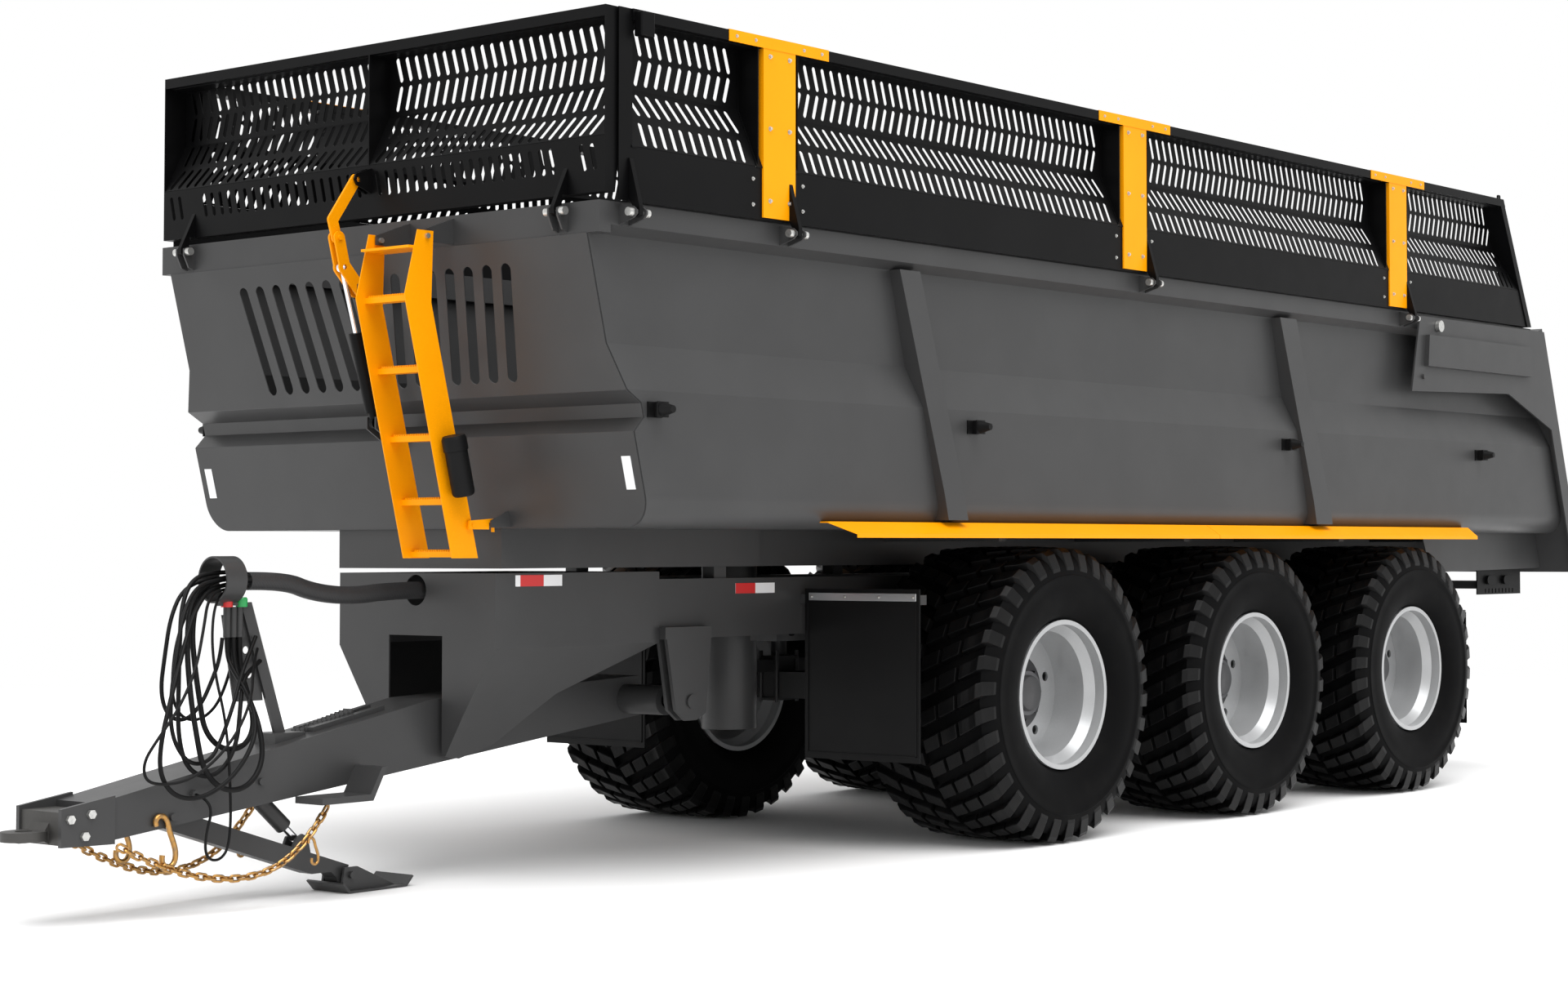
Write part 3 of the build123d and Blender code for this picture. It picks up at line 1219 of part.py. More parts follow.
hatch_half = 300
hatch_high_z = 1880
hatch_low_z = 1520
skin = 6
with BuildPart() as tailgate:
    door_slab(door_top_z, door_low_z, 0, skin, -arm_inner, arm_inner)
    door_slab(hatch_high_z, hatch_low_z, -5, skin + 5, -hatch_half, hatch_half, mode=Mode.SUBTRACT)
    for side in (-1, 1):
        low, high = sorted((side * arm_inner, side * (arm_inner - 8)))
        door_slab(door_top_z, door_low_z, skin, door_depth, low, high)
        for rib_y in (420, 900):
            low, high = sorted((side * rib_y, side * (rib_y + 80)))
            door_slab(door_top_z - 20, door_low_z + 20, skin, door_depth - 10, low, high)
        low, high = sorted((side * (hatch_half + 44), side * (hatch_half + 56)))
        door_slab(hatch_high_z + 470, hatch_low_z - 40, skin, skin + 26, low, high)
        low, high = sorted((side * (hatch_half + 24), side * (hatch_half + 56)))
        door_slab(hatch_high_z + 470, hatch_low_z - 40, skin + 18, skin + 26, low, high)
    door_slab(door_top_z, door_top_z - 60, skin, door_depth, -arm_inner + 8, arm_inner - 8)
    door_slab(door_low_z + 60, door_low_z, skin, door_depth, -arm_inner + 8, arm_inner - 8)
    door_slab(2560, 2480, skin, door_depth - 10, -arm_inner + 8, arm_inner - 8)
    with BuildPart(mode=Mode.PRIVATE) as arms:
        side_plate([
            (1940, 3085), door_point(3066, door_depth), door_point(door_low_z, door_depth),
            door_point(door_low_z, -46), door_point(2420, -46), (3200, 2630), (1822, 2590),
        ], -arm_out, -arm_inner)
        side_plate([
            (2010, 2965), (3480, 2965), (3540, 2860), (3500, 2760), (1990, 2760),
        ], -arm_out - 32, -arm_out)
        side_plate([(2040, 2940), (3455, 2940), (3500, 2860), (3470, 2785), (2020, 2785)], -arm_out - 26,
                   -arm_out, mode=Mode.SUBTRACT)
        round_y(1970, 2690, 16, -arm_out - 16, -arm_out)
        round_y(pivot_x, pivot_z, 25 + running_gap, -arm_out - 40, -arm_inner, mode=Mode.SUBTRACT)
        mirror(about=Plane.XZ)
    add(arms.part)
save(tailgate, "tailgate")

with BuildPart() as grain_hatch:
    door_slab(hatch_high_z + 36, hatch_low_z - 30, skin + 1, skin + 9, -hatch_half - 40, hatch_half + 40)
    door_slab(1720, 1690, skin + 9, skin + 45, -90, -78)
    door_slab(1720, 1690, skin + 9, skin + 45, 78, 90)
    door_slab(1720, 1690, skin + 33, skin + 45, -78, 78)
save(grain_hatch, "grain_hatch")

# ---- Tipping ram -----------------------------------------------------------------------------------
with BuildPart() as ram_barrel:
    with Locations((ram_x, 0, (ram_low_z + ram_high_z) / 2)):
        Cylinder(ram_radii[0], ram_high_z - ram_low_z)
    with Locations((ram_x, 0, (ram_low_z + 20 + ram_high_z + 20) / 2)):
        Cylinder(ram_radii[1] + ram_gap, ram_high_z - ram_low_z, mode=Mode.SUBTRACT)
    with Locations((ram_x, 0, ram_z)):
        Cylinder(ram_radii[0] + 14, 120)
        Cylinder(ram_radii[0] - 5, 130, mode=Mode.SUBTRACT)
    for side in (-1, 1):
        low, high = sorted((side * (ram_radii[0] - 6), side * (ram_radii[0] + 170)))
        round_y(ram_x, ram_z, 35, low, high)
    with Locations((ram_x, 0, ram_z)):
        Cylinder(ram_radii[1] + ram_gap, 200, mode=Mode.SUBTRACT)
save(ram_barrel, "ram_barrel")

stage_count = len(ram_radii) - 1
for stage in range(1, stage_count + 1):
    low = ram_low_z + 21 + stage * 4
    high = ram_high_z + stage * 4
    with BuildPart() as ram_stage:
        with Locations((ram_x, 0, (low + high) / 2)):
            Cylinder(ram_radii[stage], high - low)
        if stage < stage_count:
            with Locations((ram_x, 0, (low + 3 + high + 20) / 2)):
                Cylinder(ram_radii[stage + 1] + ram_gap, high - low + 17, mode=Mode.SUBTRACT)
    save(ram_stage, f"ram_stage_{stage}")


# ---- Hoses -----------------------------------------------------------------------------------------
def corner_radii(points):
    """The largest arc that each corner's two runs allow."""
    radii = []
    for before, corner, after in zip(points, points[1:], points[2:]):
        run_in, run_out = Vector(*corner) - Vector(*before), Vector(*after) - Vector(*corner)
        turn = math.radians(run_in.get_angle(run_out))
        radii.append(0.45 * min(run_in.length, run_out.length) / math.tan(turn / 2))
    return radii


hoses = {
    "hose_bundle": (84, [
        (-5040, 0, 1386), (-5260, 0, 1386), (-5500, 6, 1362), (-5720, 8, 1385), (-5880, 0, 1440),
        (-6090, 0, 1440),
    ]),
    "hose_loop_1": (24, [
        (-6090, -16, 1460), (-6265, -16, 1460), (-6420, -42, 1370), (-6492, -110, 1170),
        (-6528, -192, 940), (-6528, -236, 780), (-6510, -258, 632), (-6413, -262, 535), (-6277, -255, 535),
        (-6180, -240, 632), (-6160, -200, 780), (-6160, -110, 930), (-6166, -5, 1060),
        (-6166, -5, 1190),
    ]),
    "hose_loop_2": (24, [
        (-6090, 14, 1462), (-6225, 14, 1462), (-6355, -8, 1390), (-6438, -72, 1230),
        (-6460, -130, 1060), (-6452, -155, 915), (-6435, -165, 790), (-6350, -172, 705), (-6230, -168, 705),
        (-6145, -135, 790), (-6132, -80, 920), (-6132, -5, 1055), (-6132, -5, 1190),
    ]),
    "hose_loop_3": (20, [
        (-6090, -20, 1432), (-6280, -20, 1432), (-6430, -90, 1330), (-6560, -180, 1150),
        (-6670, -250, 950), (-6745, -285, 770), (-6755, -290, 630), (-6680, -288, 530),
        (-6550, -300, 510), (-6410, -330, 590), (-6290, -325, 740), (-6230, -250, 860),
        (-6205, -150, 960), (-6200, -50, 1045), (-6200, -5, 1112), (-6200, -5, 1190),
    ]),
    "hose_loop_4": (12, [
        (-6090, 0, 1412), (-6200, 0, 1412), (-6300, -50, 1345), (-6362, -112, 1192),
        (-6376, -160, 1030), (-6362, -205, 870), (-6345, -215, 710), (-6332, -212, 550),
        (-6325, -210, 400), (-6340, -213, 279), (-6384, -220, 235), (-6446, -232, 235),
        (-6490, -248, 279), (-6497, -270, 370), (-6480, -285, 455), (-6480, -238, 508),
        (-6480, -172, 520),
    ]),
    "hose_loop_5": (14, [
        (-6090, 24, 1434), (-6230, 24, 1434), (-6340, 70, 1340), (-6370, 130, 1180), (-6350, 185, 1000),
        (-6320, 212, 890), (-6262, 218, 822), (-6190, 198, 812), (-6142, 150, 868), (-6135, 92, 960),
        (-6140, 29, 1085), (-6140, 29, 1190),
    ]),
}
for name, (diameter, points) in hoses.items():
    radii = corner_radii(points)
    with BuildLine() as route:
        FilletPolyline(*points, radius=radii)
    with BuildPart() as hose:
        with BuildSketch(Plane(origin=points[0], z_dir=route.line % 0)) as section:
            Circle(diameter / 2)
        sweep(section.sketch, path=route.line)
    volume = math.pi * diameter**2 / 4 * route.wire().length
    print(name, "length", round(route.wire().length), "volume ratio", round(hose.part.volume / volume, 4),
          "smallest radius in diameters", round(min(radii) / diameter, 1))
    save(hose, name)
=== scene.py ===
# %% [markdown]
# # A grain cart, dressed in Blender
# The cart's frame, hopper, wheels and joints come ready made as plain solids. This lesson gives them
# their finish: paint, rubber and plating, treaded tyres, hoses, chains and the many small fasteners.

# %% Tools
import json
import math

import bpy
import mathutils
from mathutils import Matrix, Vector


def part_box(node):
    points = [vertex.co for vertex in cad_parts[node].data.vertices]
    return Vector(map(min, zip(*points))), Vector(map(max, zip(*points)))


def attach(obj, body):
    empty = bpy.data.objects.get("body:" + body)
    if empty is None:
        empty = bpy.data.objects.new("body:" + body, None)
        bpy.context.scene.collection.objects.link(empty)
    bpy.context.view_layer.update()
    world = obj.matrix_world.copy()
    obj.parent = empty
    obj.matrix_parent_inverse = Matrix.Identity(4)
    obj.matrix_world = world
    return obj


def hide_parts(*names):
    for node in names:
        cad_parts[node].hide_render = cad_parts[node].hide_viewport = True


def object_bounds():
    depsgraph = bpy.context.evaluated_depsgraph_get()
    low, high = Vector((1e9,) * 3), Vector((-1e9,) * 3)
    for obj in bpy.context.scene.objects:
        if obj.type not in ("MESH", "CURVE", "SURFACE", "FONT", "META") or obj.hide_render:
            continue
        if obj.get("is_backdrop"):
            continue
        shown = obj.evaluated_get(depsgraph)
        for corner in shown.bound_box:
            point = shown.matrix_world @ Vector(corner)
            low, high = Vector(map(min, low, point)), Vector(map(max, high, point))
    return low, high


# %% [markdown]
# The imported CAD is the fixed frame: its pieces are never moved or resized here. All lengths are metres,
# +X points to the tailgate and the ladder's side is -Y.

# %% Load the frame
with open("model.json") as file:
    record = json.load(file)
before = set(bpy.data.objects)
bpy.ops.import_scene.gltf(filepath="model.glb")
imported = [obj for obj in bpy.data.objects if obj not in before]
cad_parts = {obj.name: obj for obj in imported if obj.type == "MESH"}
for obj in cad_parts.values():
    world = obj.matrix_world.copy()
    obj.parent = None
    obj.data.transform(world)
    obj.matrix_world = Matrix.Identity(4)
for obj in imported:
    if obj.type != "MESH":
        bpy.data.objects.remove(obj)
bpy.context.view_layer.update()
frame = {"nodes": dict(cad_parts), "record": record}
nodes = frame["nodes"]
scene = bpy.context.scene
print("frame loaded:", len(nodes), "nodes")


def middle(node):
    """The centre of a CAD node's box."""
    low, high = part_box(node)
    return (low + high) / 2


# %% [markdown]
# The camera stands at the front left corner at eye height, a little outside the drawbar. It is built
# from a heading, a climb and a roll instead of a target, because a far target hides a small roll.

# %% Camera
camera_data = bpy.data.cameras.new("camera")
camera_data.sensor_width = 36
camera_data.lens = 62.72
camera_data.shift_x = -0.1323
camera_data.shift_y = -0.0330
camera = bpy.data.objects.new("camera", camera_data)
scene.collection.objects.link(camera)
yaw, pitch, roll = 0.9212, 0.0389, 0.0025
forward = mathutils.Vector((
    math.sin(yaw) * math.cos(pitch), math.cos(yaw) * math.cos(pitch), math.sin(pitch)))
right = mathutils.Vector((math.cos(yaw), -math.sin(yaw), 0))
up = right.cross(forward)
facing = mathutils.Matrix((right, up, -forward)).transposed().to_4x4()
camera.matrix_world = (
    mathutils.Matrix.Translation((-12.374, -10.121, 1.578)) @ facing
    @ mathutils.Matrix.Rotation(-roll, 4, "Z"))
scene.camera = camera
print("camera at", [round(value, 3) for value in camera.matrix_world.translation])

# %% [markdown]
# Shader maths is written with ordinary operators through one small class. Each Value is a socket of
# the material's node tree, and adding or multiplying two of them places a Math node.


# %% Shader maths
class Value:
    """A number socket in a node tree that ordinary operators work on."""

    def __init__(self, tree, socket):
        self.tree = tree
        self.socket = socket

    def math(self, operation, *others):
        """A Math node of this value and others."""
        node = self.tree.nodes.new("ShaderNodeMath")
        node.operation = operation
        for place, item in enumerate((self, *others)):
            if isinstance(item, Value):
                self.tree.links.new(item.socket, node.inputs[place])
            else:
                node.inputs[place].default_value = item
        return Value(self.tree, node.outputs[0])

    def __add__(self, other):
        return self.math("ADD", other)

    __radd__ = __add__

    def __sub__(self, other):
        return self.math("SUBTRACT", other)

    def __rsub__(self, other):
        return self * -1 + other

    def __mul__(self, other):
        return self.math("MULTIPLY", other)

    __rmul__ = __mul__

    def above(self, limit):
        """One where the value is over the limit."""
        return self.math("GREATER_THAN", limit)

    def below(self, limit):
        """One where the value is under the limit."""
        return self.math("LESS_THAN", limit)

    def smooth(self, low, high):
        """A smooth step from 0 at low to 1 at high."""
        node = self.tree.nodes.new("ShaderNodeMapRange")
        node.interpolation_type = "SMOOTHSTEP"
        self.tree.links.new(self.socket, node.inputs["Value"])
        node.inputs["From Min"].default_value = low
        node.inputs["From Max"].default_value = high
        return Value(self.tree, node.outputs[0])


class Surface:
    """One material: a Principled shader with Object coordinates and a few pattern makers."""

    def __init__(self, name, color, roughness=0.5, metallic=0.0, coat=0.0, glint=0.5):
        self.material = bpy.data.materials.new(name)
        self.material.use_nodes = True
        self.tree = self.material.node_tree
        self.shader = self.tree.nodes["Principled BSDF"]
        self.shader.inputs["Base Color"].default_value = (*color, 1)
        self.shader.inputs["Roughness"].default_value = roughness
        self.shader.inputs["Metallic"].default_value = metallic
        self.shader.inputs["Coat Weight"].default_value = coat
        self.shader.inputs["Specular IOR Level"].default_value = glint
        self.place = self.tree.nodes.new("ShaderNodeTexCoord").outputs["Object"]
        split = self.tree.nodes.new("ShaderNodeSeparateXYZ")
        self.tree.links.new(self.place, split.inputs[0])
        self.x, self.y, self.z = (Value(self.tree, split.outputs[axis]) for axis in range(3))
        self.color = None

    def noise(self, scale, detail=3.0, stretch=(1, 1, 1)):
        """Noise over the Object coordinates."""
        mapping = self.tree.nodes.new("ShaderNodeMapping")
        mapping.inputs["Scale"].default_value = stretch
        self.tree.links.new(self.place, mapping.inputs[0])
        node = self.tree.nodes.new("ShaderNodeTexNoise")
        node.inputs["Scale"].default_value = scale
        node.inputs["Detail"].default_value = detail
        self.tree.links.new(mapping.outputs[0], node.inputs["Vector"])
        return Value(self.tree, node.outputs[0])

    def paint(self, factor, color):
        """Lay a colour over the base colour where the factor is one."""
        mix = self.tree.nodes.new("ShaderNodeMix")
        mix.data_type = "RGBA"
        self.tree.links.new(factor.socket, mix.inputs[0])
        if self.color is None:
            mix.inputs[6].default_value = self.shader.inputs["Base Color"].default_value
        else:
            self.tree.links.new(self.color, mix.inputs[6])
        mix.inputs[7].default_value = (*color, 1)
        self.color = mix.outputs[2]
        self.tree.links.new(self.color, self.shader.inputs["Base Color"])
        return self

    def rough(self, low, high, scale):
        """Roughness that wanders between two values."""
        value = low + (high - low) * self.noise(scale)
        self.tree.links.new(value.socket, self.shader.inputs["Roughness"])
        return self

    def bump(self, height, strength, distance=0.002):
        """Bump from a height value."""
        node = self.tree.nodes.new("ShaderNodeBump")
        node.inputs["Strength"].default_value = strength
        node.inputs["Distance"].default_value = distance
        self.tree.links.new(height.socket, node.inputs["Height"])
        self.tree.links.new(node.outputs[0], self.shader.inputs["Normal"])
        return self


# %% [markdown]
# Paints carry a fine orange-peel bump and a slight wander in roughness, so that large sheets don't look
# like plastic. Rubber is matt with dust that gathers in noise, and plated parts are metallic with uneven
# zinc. The tyre's tread rubber is a lighter tone than its carcass: painted light on the bars and painted
# shade in the grooves between them. Every pattern reads Object coordinates, so it stays fixed to its piece
# when a joint moves.

# %% Materials
def painted(name, color, light, low=0.36, high=0.5, coat=0.15, glint=0.3):
    """A satin paint with a faint cloudiness, a fine speckle and orange peel."""
    made = Surface(name, color, coat=coat, glint=glint).rough(low, high, 7)
    made.paint(made.noise(2.3).smooth(0.35, 0.75), light)
    made.paint(made.noise(420, 1.0).smooth(0.62, 0.74) * 0.35, [share * 1.7 for share in light])
    made.bump(made.noise(260, 2.0), 0.08, 0.0006)
    return made


grey_paint = painted("grey_paint", (0.037, 0.037, 0.0375), (0.042, 0.042, 0.0425), 0.34, 0.46, 0.0, 0.32)
black_paint = painted("black_paint", (0.0022, 0.0022, 0.0024), (0.0032, 0.0032, 0.0034), 0.36, 0.48, 0.0, 0.1)
yellow_paint = painted("yellow_paint", (0.88, 0.315, 0.0), (0.92, 0.335, 0.001), 0.32, 0.44, 0.0, 0.12)
wheel_silver = painted("wheel_silver", (0.42, 0.43, 0.45), (0.47, 0.48, 0.50), 0.3, 0.42, 0.3)
wheel_silver.shader.inputs["Metallic"].default_value = 0.35

hub_grey = painted("hub_grey", (0.05, 0.05, 0.052), (0.065, 0.065, 0.068))

# The carcass and sidewall rubber is kept darker than the tread rubber: painted shade in the grooves between
# the bars.
rubber = Surface("tyre_rubber", (0.0026, 0.0026, 0.0028), glint=0.05).rough(0.5, 0.7, 5)
rubber.paint(rubber.noise(9).smooth(0.5, 0.85) * 0.5, (0.006, 0.0058, 0.0055))
rubber.bump(rubber.noise(180, 4.0), 0.16, 0.0015)

# The tread rubber and its lighter noise patches are kept lighter than the carcass: painted light on the bars,
# so the grooves between them read as shaded.
lit_tread_rubber = Surface("lit_tread_rubber", (0.0032, 0.0032, 0.0034), glint=0.15).rough(0.30, 0.50, 6)
lit_tread_rubber.paint(lit_tread_rubber.noise(7).smooth(0.45, 0.8) * 0.6, (0.010, 0.0097, 0.0094))
lit_tread_rubber.bump(lit_tread_rubber.noise(160, 4.0), 0.18, 0.0015)

black_rubber = Surface("black_rubber", (0.004, 0.004, 0.0042), glint=0.16).rough(0.42, 0.6, 8)
black_rubber.bump(black_rubber.noise(300, 2.0), 0.12, 0.0008)

sleeve = Surface("hose_sleeve", (0.02, 0.02, 0.021)).rough(0.45, 0.6, 12)
weave = (sleeve.x * 420).math("SINE") * (sleeve.z * 420).math("SINE")
sleeve.bump(weave, 0.4, 0.0012)

zinc = Surface("zinc_steel", (0.62, 0.62, 0.60), metallic=0.9).rough(0.28, 0.45, 40)
zinc.paint(zinc.noise(60).smooth(0.4, 0.8), (0.45, 0.45, 0.44))
chrome = Surface("chrome_rod", (0.8, 0.8, 0.82), 0.12, 1.0)
gold_zinc = Surface("gold_zinc", (0.50, 0.27, 0.08), metallic=0.9).rough(0.28, 0.42, 50)
gold_zinc.paint(gold_zinc.noise(45).smooth(0.4, 0.75), (0.30, 0.20, 0.11))
forged = Surface("forged_steel", (0.06, 0.058, 0.055), metallic=0.5).rough(0.45, 0.65, 30)
forged.bump(forged.noise(90, 4.0), 0.25, 0.002)
aluminium = Surface("aluminium", (0.66, 0.67, 0.68), metallic=0.85).rough(0.3, 0.42, 60)
white_strip = Surface("white_strip", (0.86, 0.87, 0.88), 0.28)
red_lens = Surface("red_lens", (0.55, 0.012, 0.012), 0.12, coat=0.8)
amber_lens = Surface("amber_lens", (0.95, 0.28, 0.01), 0.12, coat=0.8)
red_plastic = Surface("red_plastic", (0.6, 0.02, 0.02), 0.35)
green_plastic = Surface("green_plastic", (0.02, 0.32, 0.08), 0.35)

tape = Surface("stripe_tape", (0.85, 0.85, 0.86), 0.28)
tape.paint((tape.x * (1 / 0.3) + 0.02).math("FRACT").above(0.5), (0.62, 0.015, 0.015))

by_slot = {
    "tyre": rubber, "wheel_silver": wheel_silver, "yellow_paint": yellow_paint,
    "black_paint": black_paint, "black_rubber": black_rubber, "zinc_steel": zinc,
    "chrome_rod": chrome, "gold_zinc": gold_zinc, "forged_steel": forged, "grey_paint": grey_paint,
}
print("finishes:", ", ".join(sorted(by_slot)))


def wear(thing, surface):
    """Give an object one material on all its faces, through the object's own slots."""
    if not thing.material_slots:
        thing.data.materials.append(None)
    for one_slot in thing.material_slots:
        one_slot.link = "OBJECT"
        one_slot.material = surface.material


for part in frame["record"]["subparts"]:
    if part["node"] in nodes:
        wear(nodes[part["node"]], by_slot[part["material_slot"]])

# %% [markdown]
# A wheel is one CAD node with two finishes: a silver rim and disc, and a dark hub. Its material picks
# the finish by the distance from the axle, which needs no second mesh and turns with the wheel.

# %% Mixed nodes
wheel_names = [f"{side}_{row}" for side in ("left", "right") for row in (1, 2, 3)]
for name in wheel_names:
    centre = middle("wheel_" + name)
    face = painted("wheel_face_" + name, (0.40, 0.405, 0.41), (0.44, 0.445, 0.45), 0.28, 0.4, 0.2)
    face.shader.inputs["Metallic"].default_value = 0.35
    across = face.x - centre.x
    height = face.z - centre.z
    radius = (across * across + height * height).math("SQRT")
    face.paint(radius.below(0.205), (0.05, 0.05, 0.053))
    face.paint(radius.below(0.16) * (face.y - centre.y).math("ABSOLUTE").above(0.1), (0.1, 0.1, 0.105))
    wear(nodes["wheel_" + name], face)
print("two-finish wheels:", len(wheel_names))

# %% [markdown]
# Small repeated pieces come from Geometry Nodes: one group turns a piece round an axis, one sets it out
# along a line and one puts it on a list of spots. Each result is made a plain mesh, with its material
# set inside the group. Arrays would do the same, but a group keeps its sizes as named inputs.


# %% Repeating groups
def new_mesh(name, points, faces):
    """A plain mesh object in the scene, not yet riding on anything."""
    mesh = bpy.data.meshes.new(name)
    mesh.from_pydata(points, [], faces)
    mesh.validate()
    thing = bpy.data.objects.new(name, mesh)
    scene.collection.objects.link(thing)
    return thing


def make_group(name, inputs):
    """An empty geometry group with named inputs and one geometry output."""
    group = bpy.data.node_groups.new(name, "GeometryNodeTree")
    group.interface.new_socket("Geometry", in_out="INPUT", socket_type="NodeSocketGeometry")
    for label, kind in inputs:
        group.interface.new_socket(label, in_out="INPUT", socket_type=kind)
    group.interface.new_socket("Geometry", in_out="OUTPUT", socket_type="NodeSocketGeometry")
    return group


def finish_group(group, start, points, rotation):
    """Put the piece on every point, make it real and give it its material."""
    tree = group.nodes
    place = tree.new("GeometryNodeInstanceOnPoints")
    real = tree.new("GeometryNodeRealizeInstances")
    paint = tree.new("GeometryNodeSetMaterial")
    out = tree.new("NodeGroupOutput")
    link = group.links.new
    link(points, place.inputs["Points"])
    link(start.outputs["Geometry"], place.inputs["Instance"])
    if rotation is not None:
        link(rotation, place.inputs["Rotation"])
    link(place.outputs[0], real.inputs[0])
    link(real.outputs[0], paint.inputs["Geometry"])
    link(start.outputs["Material"], paint.inputs["Material"])
    link(paint.outputs[0], out.inputs[0])


# Round the Y axis: the piece turns about Y by a full turn shared between Count copies
ring_group = make_group("ring_round_y", (
    ("Count", "NodeSocketInt"), ("Centre", "NodeSocketVector"), ("Material", "NodeSocketMaterial")))
start = ring_group.nodes.new("NodeGroupInput")
line = ring_group.nodes.new("GeometryNodeMeshLine")
number = ring_group.nodes.new("GeometryNodeInputIndex")
share = ring_group.nodes.new("ShaderNodeMath")
share.operation = "DIVIDE"
turn = ring_group.nodes.new("ShaderNodeMath")
turn.operation = "MULTIPLY"
turn.inputs[1].default_value = 2 * math.pi
angles = ring_group.nodes.new("ShaderNodeCombineXYZ")
ring_group.links.new(start.outputs["Count"], line.inputs["Count"])
ring_group.links.new(start.outputs["Centre"], line.inputs["Start Location"])
line.inputs["Offset"].default_value = (0, 0, 0)
ring_group.links.new(number.outputs[0], share.inputs[0])
ring_group.links.new(start.outputs["Count"], share.inputs[1])
ring_group.links.new(share.outputs[0], turn.inputs[0])
ring_group.links.new(turn.outputs[0], angles.inputs["Y"])
finish_group(ring_group, start, line.outputs[0], angles.outputs[0])

# Along a line: Count copies, Step apart
row_group = make_group("row_along_step", (
    ("Count", "NodeSocketInt"), ("Start", "NodeSocketVector"), ("Step", "NodeSocketVector"),
    ("Material", "NodeSocketMaterial")))
start = row_group.nodes.new("NodeGroupInput")
line = row_group.nodes.new("GeometryNodeMeshLine")
row_group.links.new(start.outputs["Count"], line.inputs["Count"])
row_group.links.new(start.outputs["Start"], line.inputs["Start Location"])
row_group.links.new(start.outputs["Step"], line.inputs["Offset"])
finish_group(row_group, start, line.outputs[0], None)

# On the piece's own list of points
spot_group = make_group("on_spots", (("Spots", "NodeSocketObject"), ("Material", "NodeSocketMaterial")))
start = spot_group.nodes.new("NodeGroupInput")
spots_in = spot_group.nodes.new("GeometryNodeObjectInfo")
spot_group.links.new(start.outputs["Spots"], spots_in.inputs["Object"])
finish_group(spot_group, start, spots_in.outputs["Geometry"], None)
print("groups:", ring_group.name, row_group.name, spot_group.name)

# %% [markdown]
# Pieces that are made here are drawn in place as plain meshes: boxes, turned shapes and hexagon heads.
# Each small maker below returns an object that stands at the origin with its place in its mesh.

# %% Piece makers

def repeated(name, piece, group, values, surface, body):
    """Run a piece through a repeating group and keep the result as a mesh riding on a body."""
    modifier = piece.modifiers.new("repeat", "NODES")
    modifier.node_group = group
    for item in group.interface.items_tree:
        if item.in_out == "INPUT" and item.name in values:
            modifier[item.identifier] = values[item.name]
        if item.in_out == "INPUT" and item.name == "Material":
            modifier[item.identifier] = surface.material
    bpy.context.view_layer.update()
    graph = bpy.context.evaluated_depsgraph_get()
    mesh = bpy.data.meshes.new_from_object(piece.evaluated_get(graph))
    bpy.data.objects.remove(piece)
    thing = bpy.data.objects.new(name, mesh)
    scene.collection.objects.link(thing)
    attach(thing, body)
    return thing


def on_spots(name, piece, spots, surface, body):
    """Copies of a piece on a list of places."""
    marks = new_mesh(name + "_marks", spots, [])
    made = repeated(name, piece, spot_group, {"Spots": marks}, surface, body)
    bpy.data.objects.remove(marks)
    return made


def kept(thing, surface, body):
    """Dress a piece in a surface and set it on its body."""
    wear(thing, surface)
    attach(thing, body)
    return thing


def box_piece(name, low, high, surface, body, bevel=0.002):
    """A box between two corners with softened edges."""
    points = [(x, y, z) for x in (low[0], high[0]) for y in (low[1], high[1]) for z in (low[2], high[2])]
    faces = [(0, 1, 3, 2), (4, 6, 7, 5), (0, 4, 5, 1), (2, 3, 7, 6), (0, 2, 6, 4), (1, 5, 7, 3)]
    thing = new_mesh(name, points, faces)
    soften = thing.modifiers.new("soften", "BEVEL")
    soften.width = bevel
    soften.segments = 2
    return kept(thing, surface, body)


def turned(name, outline, axis, count=48, caps=True):
    """A surface of revolution: outline holds (along, radius) pairs, axis is 'X', 'Y' or 'Z'."""
    points = []
    for number in range(count):
        angle = 2 * math.pi * number / count
        for along, radius in outline:
            a, b = radius * math.cos(angle), radius * math.sin(angle)
            points.append({"X": (along, a, b), "Y": (b, along, a), "Z": (a, b, along)}[axis])
    size = len(outline)
    faces = []
    for number in range(count):
        following = (number + 1) % count
        for place in range(size - 1):
            faces.append((number * size + place, number * size + place + 1,
                          following * size + place + 1, following * size + place))
    for place in (0, size - 1):
        if caps and outline[place][1] > 0:
            faces.append(tuple(number * size + place for number in range(count)))
    return new_mesh(name, points, faces)


def hexagon(name, axis, across, high):
    """A hexagon bolt head with a chamfered top on a washer, rising along the axis from zero."""
    washer = turned(name + "_washer", [(0, across * 0.95), (high * 0.18, across * 0.95)], axis, 20)
    head = turned(name, [(high * 0.18, across * 0.62), (high * 0.9, across * 0.62), (high, across * 0.5)],
                  axis, 6)
    with bpy.context.temp_override(active_object=head, selected_editable_objects=[head, washer]):
        bpy.ops.object.join()
    return head


def smoothed(thing):
    """Smooth shading, with sharp edges kept by angle."""
    for face in thing.data.polygons:
        face.use_smooth = True
    thing.data.set_sharp_from_angle(angle=math.radians(32))
    return thing


# %% [markdown]
# Each hose is a cord of its real length. Its route is the one that the CAD tube follows, and the
# drawn curve takes the tube's place. The sleeve that holds the hoses together runs from the housing
# to the strap ring on the stand. Four more loops hang beside them, because the real stand carries more
# hoses than the five main ones. A simulated rope could make them too, but these were drawn as
# smooth curves through a few points, so that each keeps the route that its CAD tube has.

# %% Hoses
axle_x = middle("wheel_left_2").x


def at(x, y, z):
    """A point given from the middle axle."""
    return mathutils.Vector((axle_x + x, y, z))


